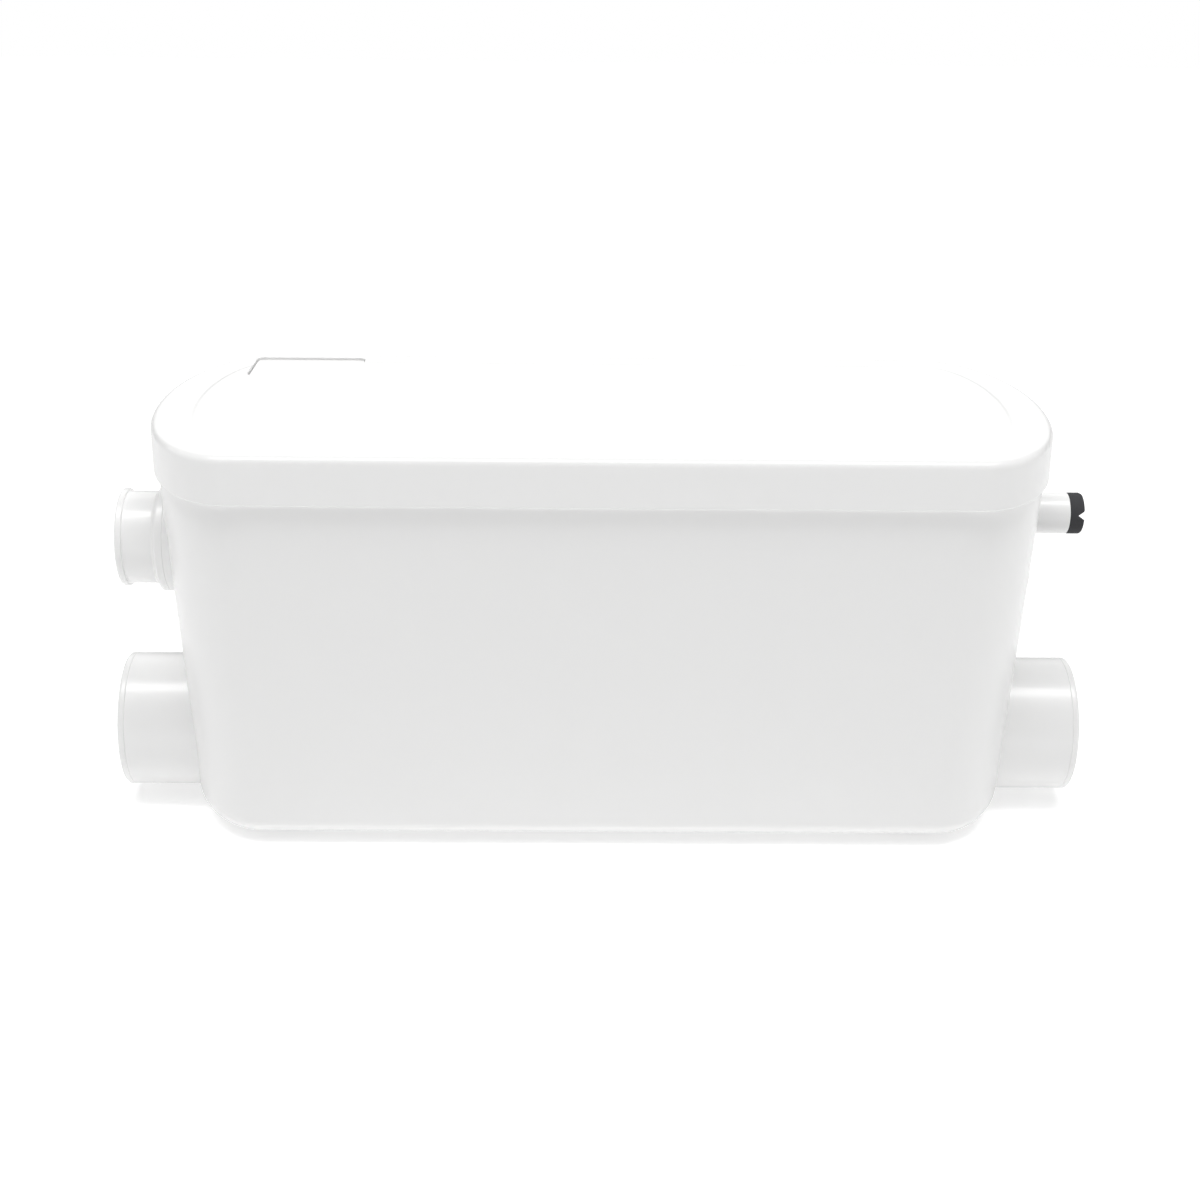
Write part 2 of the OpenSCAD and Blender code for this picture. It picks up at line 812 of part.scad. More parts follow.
module inlet_flap(side) {
    color(RUBBER)
    in_frame()
    difference() {
        union() {
            side_cyl(side, flap_x, flap_x + flap_t, flap_r, inlet_y, inlet_z);
            cross_cyl(side * flap_pin_x, inlet_y, flap_pin_z, knuckle_half_w, knuckle_r);
            translate([side > 0 ? flap_x : -flap_x - flap_t, inlet_y - knuckle_half_w, inlet_z])
                cube([flap_t, 2 * knuckle_half_w, flap_pin_z - inlet_z]);
        }
        cross_cyl(side * flap_pin_x, inlet_y, flap_pin_z, knuckle_half_w + overrun,
            flap_pin_r + slip);
    }
}

module flap_pin(side) {
    color(STEEL)
    in_frame()
    cross_cyl(side * flap_pin_x, inlet_y, flap_pin_z, flap_pin_half, flap_pin_r);
}

module blanking_plug() {
    color(RUBBER)
    in_frame()
    side_turned(RIGHT, [
        [plug_seat_x - plug_stem_l, plug_stem_r - plug_wall],
        [plug_seat_x - plug_stem_l, plug_stem_r - plug_lip_w],
        [plug_seat_x - plug_stem_l + plug_lip_w, plug_stem_r],
        [plug_seat_x, plug_stem_r],
        [plug_seat_x, plug_r],
        [plug_seat_x + plug_flange_t - plug_lip_w, plug_r],
        [plug_seat_x + plug_flange_t, plug_r - plug_lip_w],
        [plug_seat_x + plug_flange_t, 0],
        [plug_seat_x + plug_flange_t - plug_wall, 0],
        [plug_seat_x + plug_flange_t - plug_wall, plug_stem_r - plug_wall]], 0, port_z);
}

module discharge_spigot() {
    color(ABS_WHITE)
    in_frame()
    side_turned(LEFT, concat([
        [valve_tail_x + gap, outlet_r],
        [valve_tail_x + gap, neck_r],
        [port_face_x, neck_r],
        [port_face_x, port_ring_r]],
        [for (i = [0:flare_steps])
            let (share = i / flare_steps)
            [port_face_x + collar_flat + collar_flare * share,
                neck_r + (port_ring_r - neck_r) * (1 + cos(180 * share)) / 2]], [
        [spigot_reach - lip_w, neck_r],
        [spigot_reach - lip_w, lip_r - lip_edge],
        [spigot_reach - lip_w + lip_edge, lip_r],
        [spigot_reach - lip_edge, lip_r],
        [spigot_reach, lip_r - lip_edge],
        [spigot_reach, outlet_r]]), 0, port_z);
}

module spigot_nut() {
    color(ABS_WHITE)
    in_frame()
    difference() {
        translate([-(port_in_x - nut_gap), 0, port_z])
            rotate([0, 90, 0])
                cylinder(h = nut_t, r = nut_r, $fn = 8);
        side_cyl(LEFT, port_in_x - nut_gap - nut_t - overrun, port_in_x, neck_r + slip, 0, port_z);
    }
}

module check_valve_body() {
    color(GREY_PLASTIC)
    in_frame()
    difference() {
        union() {
            side_cyl(LEFT, valve_in_x, valve_out_x, valve_r, 0, port_z);
            side_cyl(LEFT, valve_in_x - barb_l, valve_in_x + overrun, barb_r, 0, port_z);
        }
        side_cyl(LEFT, valve_in_x - barb_l - overrun, valve_out_x, barb_bore_r, 0, port_z);
        side_cyl(LEFT, valve_seat_x, valve_out_x, valve_chamber_r, 0, port_z);
        side_cyl(LEFT, valve_tail_x, valve_out_x + overrun, neck_r + slip, 0, port_z);
        cross_cyl(-check_pin_x, 0, check_pin_z, check_pin_half + gap, check_pin_r + slip);
    }
}

module check_valve_flap() {
    color(RUBBER)
    in_frame()
    difference() {
        union() {
            side_cyl(LEFT, valve_seat_x + gap, valve_seat_x + gap + check_flap_t,
                check_flap_r, 0, port_z);
            side_cyl(LEFT, valve_seat_x + gap, valve_seat_x + gap + check_flap_t + check_boss_t,
                check_boss_r, 0, port_z);
            cross_cyl(-check_pin_x, 0, check_pin_z, check_knuckle_half, check_knuckle_r);
        }
        cross_cyl(-check_pin_x, 0, check_pin_z, check_knuckle_half + overrun,
            check_pin_r + slip);
    }
}

module check_valve_pin() {
    color(STEEL)
    in_frame()
    cross_cyl(-check_pin_x, 0, check_pin_z, check_pin_half, check_pin_r);
}

// The hose's run with a given radius, so that the bore follows the outside
module hose_run(r, extra) {
    translate([-riser_x, 0, hose_low_z - extra])
        cylinder(h = port_z - hose_bend - hose_low_z + extra, r = r);
    translate([-riser_x - hose_bend, 0, port_z - hose_bend])
        rotate([90, 0, 0])
            rotate_extrude(angle = 90)
                translate([hose_bend, 0])
                    circle(r = r);
    side_cyl(LEFT, riser_x + hose_bend, hose_end_x + extra, r, 0, port_z);
}

module discharge_hose() {
    color(RUBBER)
    in_frame()
    difference() {
        hose_run(hose_r, 0);
        hose_run(hose_bore_d / 2, overrun);
    }
}

module hose_clamp() {
    difference() {
        union() {
            cylinder(h = clamp_band_w, r = hose_r + slip + clamp_band_t);
            translate([-clamp_box[0] / 2, hose_r, 0])
                cube(clamp_box);
        }
        translate([0, 0, -overrun])
            cylinder(h = clamp_band_w + 2 * overrun, r = hose_r + slip);
    }
}

module hose_clamps() {
    color(STEEL)
    in_frame() {
        translate([-riser_x, 0, hose_low_z + clamp_inset])
            hose_clamp();
        translate([-hose_end_x + clamp_inset, 0, port_z])
            rotate([0, 90, 0])
                hose_clamp();
    }
}

module gland_body() {
    color(ABS_WHITE)
    in_frame()
    side_turned(RIGHT, [
        [gland_in_x - gland_tail, gland_bore_r],
        [gland_in_x - gland_tail, gland_r],
        [gland_face_x, gland_r],
        [gland_face_x, gland_ring_r],
        [gland_face_x + gland_ring_t, gland_r],
        [gland_reach - bush_l, gland_r],
        [gland_reach - bush_l, gland_bore_r]], gland_back, gland_z);
}

module gland_bush() {
    color(RUBBER)
    in_frame()
    difference() {
        side_turned(RIGHT, [
            [gland_reach - bush_l - bush_tail_l, lead_d / 2 + lead_clear],
            [gland_reach - bush_l - bush_tail_l, gland_bore_r - slip],
            [gland_reach - bush_l, gland_bore_r - slip],
            [gland_reach - bush_l, gland_r],
            [gland_reach - bush_edge, gland_r],
            [gland_reach, gland_r - bush_edge],
            [gland_reach, lead_d / 2 + lead_clear]], gland_back, gland_z);
        for (turn = [0, 90])
            translate([gland_reach, gland_back, gland_z])
                rotate([turn - bush_notch_turn, 0, 0])
                    bush_notch();
    }
}

// A notch across the end of the bush, that narrows to an edge
module bush_notch() {
    half = bush_notch_w * (bush_notch_l + overrun) / bush_notch_l / 2;
    rotate([90, 0, 0])
        linear_extrude(height = 2 * (gland_r + overrun), center = true)
            polygon([[-bush_notch_l, 0], [overrun, -half], [overrun, half]]);
}

module gland_nut() {
    color(ABS_WHITE)
    in_frame()
    difference() {
        translate([gland_in_x - nut_gap - gland_nut_t, gland_back, gland_z])
            rotate([0, 90, 0])
                cylinder(h = gland_nut_t, r = gland_nut_r, $fn = 6);
        side_cyl(RIGHT, gland_in_x - nut_gap - gland_nut_t - overrun, gland_in_x,
            gland_r + slip, gland_back, gland_z);
    }
}

module mounting_plate() {
    color(GREY_PLASTIC)
    in_frame()
    difference() {
        translate([0, 0, plate_z])
            slab(plate_w, plate_d, plate_t, plate_corner_r);
        translate([0, 0, plate_z - overrun]) {
            cylinder(h = plate_t + 2 * overrun, r = neck_seal_r);
            translate([-riser_x, 0, 0])
                cylinder(h = plate_t + 2 * overrun, r = outlet_pipe_r + 2 * gap);
            translate([switch_x, 0, 0])
                cylinder(h = plate_t + 2 * overrun, r = dip_r - dip_wall);
            at_posts()
                cylinder(h = plate_t + 2 * overrun, r = screw_r + gap);
            round_places(flange_screw_angles, flange_screw_r)
                cylinder(h = plate_t + 2 * overrun, r = screw_r + slip);
        }
    }
}

module plate_grommets() {
    color(RUBBER)
    in_frame()
    at_posts()
        translate([0, 0, post_top_z])
            ring(grommet_h, post_r, screw_r + gap);
}

module plate_screws() {
    color(STEEL)
    in_frame()
    at_posts()
        translate([0, 0, plate_top_z])
            screw(screw_r, screw_head_r, screw_head_h, plate_t + grommet_h + screw_bite - gap);
}

module motor_casing() {
    color(STEEL)
    in_frame()
    difference() {
        union() {
            translate([0, 0, plate_top_z])
                cylinder(h = motor_h, r = motor_r);
            translate([0, 0, plate_top_z])
                cylinder(h = flange_t, r = flange_r);
            translate([0, 0, motor_top_z - lug_h])
                round_places(lug_angles, lug_place_r)
                    cylinder(h = lug_h, r = lug_r);
        }
        difference() {
            translate([0, 0, plate_top_z + motor_floor_t])
                cylinder(h = motor_h, r = motor_in_r);
            translate([0, 0, plate_top_z])
                cylinder(h = motor_floor_t + bearing_w, r = bearing_r + bearing_wall);
        }
        translate([0, 0, lower_bearing_z])
            cylinder(h = bearing_w + overrun, r = bearing_r + slip);
        translate([0, 0, plate_top_z - overrun])
            cylinder(h = motor_h, r = bearing_r - bearing_shoulder);
        translate([0, 0, motor_top_z - lug_h + overrun])
            round_places(lug_angles, lug_place_r + cover_screw_r)
                cylinder(h = lug_h, r = cover_screw_r + slip);
        translate([0, 0, plate_top_z - overrun])
            round_places(flange_screw_angles, flange_screw_r)
                cylinder(h = flange_t + 2 * overrun, r = screw_r + slip);
    }
}

module motor_cover() {
    color(STEEL)
    in_frame()
    difference() {
        union() {
            translate([0, 0, motor_top_z])
                cylinder(h = cover_t, r = motor_r);
            translate([0, 0, motor_top_z])
                round_places(lug_angles, lug_place_r)
                    cylinder(h = cover_t, r = lug_r);
            translate([0, 0, upper_bearing_z])
                cylinder(h = motor_top_z - upper_bearing_z + overrun, r = bearing_r + bearing_wall);
        }
        translate([0, 0, upper_bearing_z - overrun])
            cylinder(h = bearing_w + overrun, r = bearing_r + slip);
        translate([0, 0, upper_bearing_z])
            cylinder(h = bearing_w + 2 * overrun, r = bearing_r - bearing_shoulder);
        translate([0, 0, motor_top_z - overrun])
            round_places(lug_angles, lug_place_r + cover_screw_r)
                cylinder(h = cover_t + 2 * overrun, r = cover_screw_r + slip);
    }
}

module cover_screws() {
    color(STEEL)
    in_frame()
    translate([0, 0, motor_top_z + cover_t])
        round_places(lug_angles, lug_place_r + cover_screw_r)
            screw(cover_screw_r, small_head_r, small_head_h, cover_t + lug_h - screw_end_gap);
}

module flange_screws() {
    color(STEEL)
    in_frame()
    translate([0, 0, plate_top_z + flange_t])
        round_places(flange_screw_angles, flange_screw_r)
            screw(screw_r, screw_head_r, screw_head_h,
                flange_t + plate_t + gasket_t + volute_flange_t);
}

module stator_core() {
    color(STEEL)
    in_frame()
    translate([0, 0, stator_z])
        difference() {
            cylinder(h = stator_h, r = motor_in_r - slip);
            translate([0, 0, -overrun])
                cylinder(h = stator_h + 2 * overrun, r = stator_in_r);
            for (i = [0:slots - 1])
                rotate([0, 0, 360 * i / slots])
                    translate([stator_in_r - overrun, -slot_w / 2, -overrun])
                        cube([slot_depth + overrun, slot_w, stator_h + 2 * overrun]);
        }
}

module stator_winding() {
    color(COPPER)
    in_frame()
    for (z = [stator_z - winding_h, stator_z + stator_h])
        translate([0, 0, z])
            rotate_extrude()
                polygon([
                    [winding_in_r, winding_edge], [winding_in_r + winding_edge, 0],
                    [winding_out_r - winding_edge, 0], [winding_out_r, winding_edge],
                    [winding_out_r, winding_h - winding_edge],
                    [winding_out_r - winding_edge, winding_h],
                    [winding_in_r + winding_edge, winding_h],
                    [winding_in_r, winding_h - winding_edge]]);
}

module rotor_core() {
    color(STEEL)
    in_frame()
    translate([0, 0, stator_z - end_ring_h])
        difference() {
            union() {
                cylinder(h = stator_h + 2 * end_ring_h, r = rotor_r - end_ring_h);
                translate([0, 0, end_ring_h])
                    cylinder(h = stator_h, r = rotor_r);
            }
            translate([0, 0, -overrun])
                cylinder(h = stator_h + 2 * (end_ring_h + overrun), r = shaft_r + slip);
        }
}

module motor_shaft() {
    color(STEEL)
    in_frame()
    translate([0, 0, shaft_low_z])
        cylinder(h = upper_bearing_z + bearing_w - shaft_low_z, r = shaft_r);
}

module ball_bearing(z) {
    translate([0, 0, z])
        ring(bearing_w, bearing_r, shaft_r + slip);
}

module upper_bearing() {
    color(STEEL) in_frame() ball_bearing(upper_bearing_z);
}

module lower_bearing() {
    color(STEEL) in_frame() ball_bearing(lower_bearing_z);
}

module shaft_seal() {
    color(RUBBER)
    in_frame()
    translate([0, 0, volute_flange_z - shaft_seal_h / 2])
        ring(shaft_seal_h, neck_seal_r, shaft_r + slip);
}

module volute() {
    color(GREY_PLASTIC)
    in_frame()
    difference() {
        union() {
            translate([0, 0, volute_low_z])
                cylinder(h = volute_roof_z + volute_roof_t - volute_low_z, r = volute_r);
            translate([0, 0, volute_roof_z])
                cylinder(h = volute_flange_z - volute_roof_z + overrun, r = volute_neck_r);
            translate([0, 0, volute_flange_z])
                cylinder(h = volute_flange_t, r = flange_r);
            rotate([0, 0, outlet_turn])
                side_cyl(LEFT, 0, outlet_run, outlet_pipe_r, outlet_offset, outlet_z);
            translate([-riser_x, 0, outlet_z - elbow_r])
                cylinder(h = 2 * elbow_r, r = elbow_r);
            translate([-riser_x, 0, outlet_z])
                cylinder(h = hose_low_z + riser_grip - outlet_z, r = outlet_pipe_r);
            translate([0, 0, volute_low_z])
                round_places(strainer_screw_angles, strainer_screw_place)
                    cylinder(h = strainer_boss_h, r = strainer_boss_r);
        }
        translate([0, 0, volute_low_z - overrun])
            cylinder(h = volute_roof_z - volute_low_z + overrun, r = volute_r - volute_wall);
        translate([0, 0, volute_low_z])
            cylinder(h = plate_z - volute_low_z, r = shaft_r + gap);
        translate([0, 0, volute_flange_z - shaft_seal_h / 2])
            cylinder(h = plate_z, r = neck_seal_r + slip);
        rotate([0, 0, outlet_turn])
            side_cyl(LEFT, outlet_offset / 2, outlet_run, outlet_bore_r, outlet_offset, outlet_z);
        translate([-riser_x, 0, outlet_z - riser_bore_r])
            cylinder(h = plate_z, r = riser_bore_r);
        translate([0, 0, volute_low_z - overrun])
            round_places(strainer_screw_angles, strainer_screw_place)
                cylinder(h = strainer_boss_h, r = small_screw_r + slip);
        translate([0, 0, volute_flange_z - overrun])
            round_places(flange_screw_angles, flange_screw_r)
                cylinder(h = volute_flange_t + 2 * overrun, r = screw_r + slip);
    }
}

module volute_gasket() {
    color(RUBBER)
    in_frame()
    translate([0, 0, plate_z - gasket_t])
        difference() {
            ring(gasket_t, flange_r, neck_seal_r + gap);
            translate([0, 0, -overrun])
                round_places(flange_screw_angles, flange_screw_r)
                    cylinder(h = gasket_t + 2 * overrun, r = screw_r + slip);
        }
}

// Points along one side of a swept-back vane
function vane_side(side) = [for (i = [0:vane_steps])
    let (share = i / vane_steps, r = eye_r + (impeller_r - vane_end_inset - eye_r) * share,
        a = -vane_sweep * share + side * asin(vane_t / 2 / r))
    [r * cos(a), r * sin(a)]];

module impeller() {
    color(GREY_PLASTIC)
    in_frame()
    difference() {
        union() {
            translate([0, 0, shroud_z])
                cylinder(h = shroud_t, r = impeller_r);
            translate([0, 0, vane_z])
                cylinder(h = volute_roof_z - vane_z - hub_clear, r = hub_r);
            translate([0, 0, vane_z])
                for (i = [0:vanes - 1])
                    rotate([0, 0, 360 * i / vanes])
                        linear_extrude(height = shroud_z - vane_z + shroud_t / 2)
                            polygon(concat(vane_side(1),
                                [for (k = [vane_steps:-1:0]) vane_side(-1)[k]]));
        }
        translate([0, 0, vane_z - overrun])
            cylinder(h = volute_roof_z, r = shaft_r + slip);
    }
}

module strainer() {
    color(GREY_PLASTIC)
    in_frame()
    difference() {
        union() {
            translate([0, 0, volute_low_z - strainer_plate_t])
                cylinder(h = strainer_plate_t, r = strainer_r);
            translate([0, 0, floor_z + strainer_floor_gap])
                ring(volute_low_z - strainer_plate_t / 2 - floor_z - strainer_floor_gap,
                    strainer_ring_r, strainer_ring_r - strainer_wall);
        }
        translate([0, 0, floor_z])
            cylinder(h = volute_low_z, r = eye_r);
        for (i = [0:teeth - 1])
            rotate([0, 0, 360 * i / teeth])
                translate([eye_r + overrun, -tooth_gap_w / 2, floor_z])
                    cube([strainer_r, tooth_gap_w,
                        volute_low_z - strainer_plate_t - strainer_band - floor_z]);
        translate([0, 0, floor_z])
            round_places(strainer_screw_angles, strainer_screw_place)
                cylinder(h = volute_low_z, r = small_screw_r + slip);
    }
}

module strainer_screws() {
    color(STEEL)
    in_frame()
    translate([0, 0, volute_low_z - strainer_plate_t])
        round_places(strainer_screw_angles, strainer_screw_place)
            rotate([180, 0, 0])
                screw(small_screw_r, small_head_r, small_head_h, strainer_boss_h - screw_end_gap);
}

module capacitor() {
    color(ABS_WHITE)
    in_frame()
    translate([capacitor_x, capacitor_y, plate_top_z]) {
        rotate_extrude()
            polygon([[0, 0], [capacitor_r, 0], [capacitor_r, capacitor_h - capacitor_edge],
                [capacitor_r - capacitor_edge, capacitor_h], [0, capacitor_h]]);
        for (x = [-1, 1])
            translate([x * capacitor_r / 2 - tag_t / 2, -tag_w / 2, capacitor_h - overrun])
                cube([tag_t, tag_w, tag_h + overrun]);
    }
}

module capacitor_clip() {
    color(STEEL)
    in_frame()
    translate([capacitor_x, capacitor_y, plate_top_z])
        ring(clip_h, capacitor_r + slip + clip_t, capacitor_r + slip);
}

module terminal_block() {
    color(ABS_WHITE)
    in_frame()
    translate([terminal_x, terminal_y, plate_top_z])
        difference() {
            translate([-terminal_size[0] / 2, -terminal_size[1] / 2, 0])
                cube(terminal_size);
            for (i = [0:terminal_ways - 1])
                translate([terminal_pitch_x(i), 0, 0]) {
                    cross_cyl(0, 0, terminal_size[2] / 2, terminal_size[1], terminal_bore_r);
                    translate([0, 0, terminal_size[2] / 2])
                        cylinder(h = terminal_size[2], r = small_head_r + slip);
                }
        }
}

function terminal_pitch_x(i) =
    (i - (terminal_ways - 1) / 2) * terminal_size[0] / terminal_ways;

module terminal_screws() {
    color(BRASS)
    in_frame()
    for (i = [0:terminal_ways - 1])
        translate([terminal_x + terminal_pitch_x(i), terminal_y,
                plate_top_z + terminal_size[2] - terminal_recess - small_head_h])
            screw(small_screw_r, small_head_r, small_head_h, terminal_shank);
}

module cord_clamp() {
    color(GREY_PLASTIC)
    in_frame()
    translate([cord_clamp_x, cord_clamp_y, plate_top_z])
        difference() {
            translate([-saddle_w / 2, -saddle_half, 0])
                cube([saddle_w, 2 * saddle_half, lead_d + saddle_t]);
            translate([0, 0, lead_d / 2])
                rotate([0, 90, 0])
                    cylinder(h = 2 * saddle_w, r = lead_d / 2 + lead_clear, center = true);
            translate([-saddle_w, -lead_d / 2 - lead_clear, -overrun])
                cube([2 * saddle_w, lead_d + 2 * lead_clear, lead_d / 2 + overrun]);
            for (y = [-1, 1])
                translate([0, y * (saddle_half - screw_head_r), -overrun])
                    cylinder(h = lead_d + saddle_t + 2 * overrun, r = small_screw_r + slip);
        }
}

module clamp_screws() {
    color(STEEL)
    in_frame()
    for (y = [-1, 1])
        translate([cord_clamp_x, cord_clamp_y + y * (saddle_half - screw_head_r),
                plate_top_z + lead_d + saddle_t])
            screw(small_screw_r, small_head_r, small_head_h, lead_d + saddle_t - gap);
}

module dip_tube() {
    color(GREY_PLASTIC)
    in_frame()
    translate([switch_x, 0, 0])
        difference() {
            union() {
                translate([0, 0, dip_low_z])
                    cylinder(h = plate_z - dip_low_z, r = dip_r);
                translate([0, 0, plate_z - dip_flange_t])
                    cylinder(h = dip_flange_t, r = dip_flange_r);
            }
            translate([0, 0, dip_low_z - overrun])
                cylinder(h = plate_z - dip_low_z + 2 * overrun, r = dip_r - dip_wall);
        }
}

module switch_diaphragm() {
    color(RUBBER)
    in_frame()
    translate([switch_x, 0, plate_top_z])
        cylinder(h = diaphragm_t, r = diaphragm_r);
}

module switch_housing() {
    color(GREY_PLASTIC)
    in_frame()
    translate([switch_x, 0, housing_low_z])
        difference() {
            union() {
                cylinder(h = housing_h, r = housing_r);
                translate([micro_x - switch_x, micro_size[1] / 2, housing_h - overrun])
                    cube([micro_size[0], bracket_t,
                        micro_z + micro_size[2] - housing_low_z - housing_h + overrun]);
            }
            translate([0, 0, -overrun])
                cylinder(h = housing_h - housing_wall + overrun, r = housing_r - housing_wall);
            cylinder(h = housing_h + overrun, r = stem_r + slip);
        }
}

module switch_plunger() {
    color(ABS_WHITE)
    in_frame()
    translate([switch_x, 0, housing_low_z + gap]) {
        cylinder(h = piston_t, r = piston_r);
        cylinder(h = stem_top_z - tip_h - housing_low_z - gap, r = stem_r);
        cylinder(h = stem_top_z - housing_low_z - gap, r = tip_r);
    }
}

module microswitch() {
    color(RUBBER)
    in_frame()
    difference() {
        union() {
            translate([micro_x, -micro_size[1] / 2, micro_z])
                cube(micro_size);
            translate([button_x, 0, button_low_z])
                cylinder(h = micro_z + overrun - button_low_z, r = button_r);
            for (e = [-1, 1])
                translate([lever_pin_x - lever_knuckle_r,
                        e * (lever_half_w + gap + micro_ear_t / 2) - micro_ear_t / 2,
                        lever_pin_z - lever_knuckle_r])
                    cube([2 * lever_knuckle_r, micro_ear_t,
                        micro_z - lever_pin_z + lever_knuckle_r + overrun]);
        }
        cross_cyl(lever_pin_x, 0, lever_pin_z, micro_size[1], lever_pin_r + slip);
    }
}

module switch_lever() {
    color(STEEL)
    in_frame()
    difference() {
        union() {
            translate([lever_pin_x - lever_end, -lever_half_w, lever_z])
                cube([lever_end, 2 * lever_half_w, lever_t]);
            cross_cyl(lever_pin_x, 0, lever_pin_z, lever_half_w, lever_knuckle_r);
        }
        cross_cyl(lever_pin_x, 0, lever_pin_z, lever_half_w + overrun, lever_pin_r + slip);
    }
}

module lever_pin() {
    color(STEEL)
    in_frame()
    cross_cyl(lever_pin_x, 0, lever_pin_z, lever_half_w + gap + micro_ear_t, lever_pin_r);
}

tank();
rubber_feet();
tank_seal();
lid();
filter_cover();
carbon_filter();
inlet_seal(LEFT);  // inlet_seal_left
inlet_seal(RIGHT);  // inlet_seal_right
end_ring(LEFT);  // end_ring_left
end_ring(RIGHT);  // end_ring_right
inlet_seat(LEFT);  // inlet_seat_left
inlet_seat(RIGHT);  // inlet_seat_right
inlet_flap(LEFT);  // inlet_flap_left
inlet_flap(RIGHT);  // inlet_flap_right
flap_pin(LEFT);  // flap_pin_left
flap_pin(RIGHT);  // flap_pin_right
blanking_plug();
discharge_spigot();
spigot_nut();
check_valve_body();
check_valve_flap();
check_valve_pin();
discharge_hose();
hose_clamps();
gland_body();
gland_bush();
gland_nut();
mounting_plate();
plate_grommets();
plate_screws();
motor_casing();
motor_cover();
cover_screws();
flange_screws();
stator_core();
stator_winding();
rotor_core();
motor_shaft();
upper_bearing();
lower_bearing();
shaft_seal();
volute();
volute_gasket();
impeller();
strainer();
strainer_screws();
capacitor();
capacitor_clip();
terminal_block();
terminal_screws();
cord_clamp();
clamp_screws();
dip_tube();
switch_diaphragm();
switch_housing();
switch_plunger();
microswitch();
switch_lever();
lever_pin();
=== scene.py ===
"""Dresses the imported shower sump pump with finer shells, fixings, finishes and a soft white studio."""

import json
import logging
import math
from collections.abc import Iterable, Sequence
from dataclasses import dataclass
from enum import Enum, IntEnum
from functools import cache

import bmesh
import bpy
from mathutils import Matrix, Vector

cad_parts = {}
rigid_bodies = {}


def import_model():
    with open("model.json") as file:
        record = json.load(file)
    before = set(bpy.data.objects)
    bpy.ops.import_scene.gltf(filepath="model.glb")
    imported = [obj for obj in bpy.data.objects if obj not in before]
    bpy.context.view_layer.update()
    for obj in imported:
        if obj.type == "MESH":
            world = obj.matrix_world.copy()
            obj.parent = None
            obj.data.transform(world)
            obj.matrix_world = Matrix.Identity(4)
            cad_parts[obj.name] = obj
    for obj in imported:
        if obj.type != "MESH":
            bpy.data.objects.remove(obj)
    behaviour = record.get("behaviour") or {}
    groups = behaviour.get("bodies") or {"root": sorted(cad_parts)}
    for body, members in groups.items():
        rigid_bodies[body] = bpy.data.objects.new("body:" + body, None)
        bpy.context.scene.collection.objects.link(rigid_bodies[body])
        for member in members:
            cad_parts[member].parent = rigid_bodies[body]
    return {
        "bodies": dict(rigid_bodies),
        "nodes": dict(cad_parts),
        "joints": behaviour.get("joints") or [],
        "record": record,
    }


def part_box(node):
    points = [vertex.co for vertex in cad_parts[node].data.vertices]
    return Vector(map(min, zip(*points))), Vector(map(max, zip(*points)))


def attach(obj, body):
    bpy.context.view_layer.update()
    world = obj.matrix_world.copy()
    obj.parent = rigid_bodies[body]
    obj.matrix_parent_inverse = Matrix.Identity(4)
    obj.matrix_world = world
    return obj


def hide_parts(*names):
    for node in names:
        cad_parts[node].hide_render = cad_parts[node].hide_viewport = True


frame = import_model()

log = logging.getLogger("sump_pump")

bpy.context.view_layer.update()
MM = 0.001
BOW_STEPS = 36
CORNER_STEPS = 8
QUARTERS = ((1, 1), (-1, 1), (-1, -1), (1, -1))

Pair = tuple[float, float]
Spot = tuple[float, float, float]
Corner = tuple[float, ...]
Colour = tuple[float, float, float]


class Side(IntEnum):
    """The end of the box that a port is on."""

    LEFT = -1
    RIGHT = 1


class Facets(IntEnum):
    """How finely a round form is cut."""

    HOLE = 24
    SLIM = 32
    HEAD = 40
    ROD = 48
    HOSE = 56
    FOOT = 64
    WIDE = 96
    FINE = 128


class Work(Enum):
    """What a tool form does to the form that it works on."""

    CUT = "DIFFERENCE"
    FUSE = "UNION"


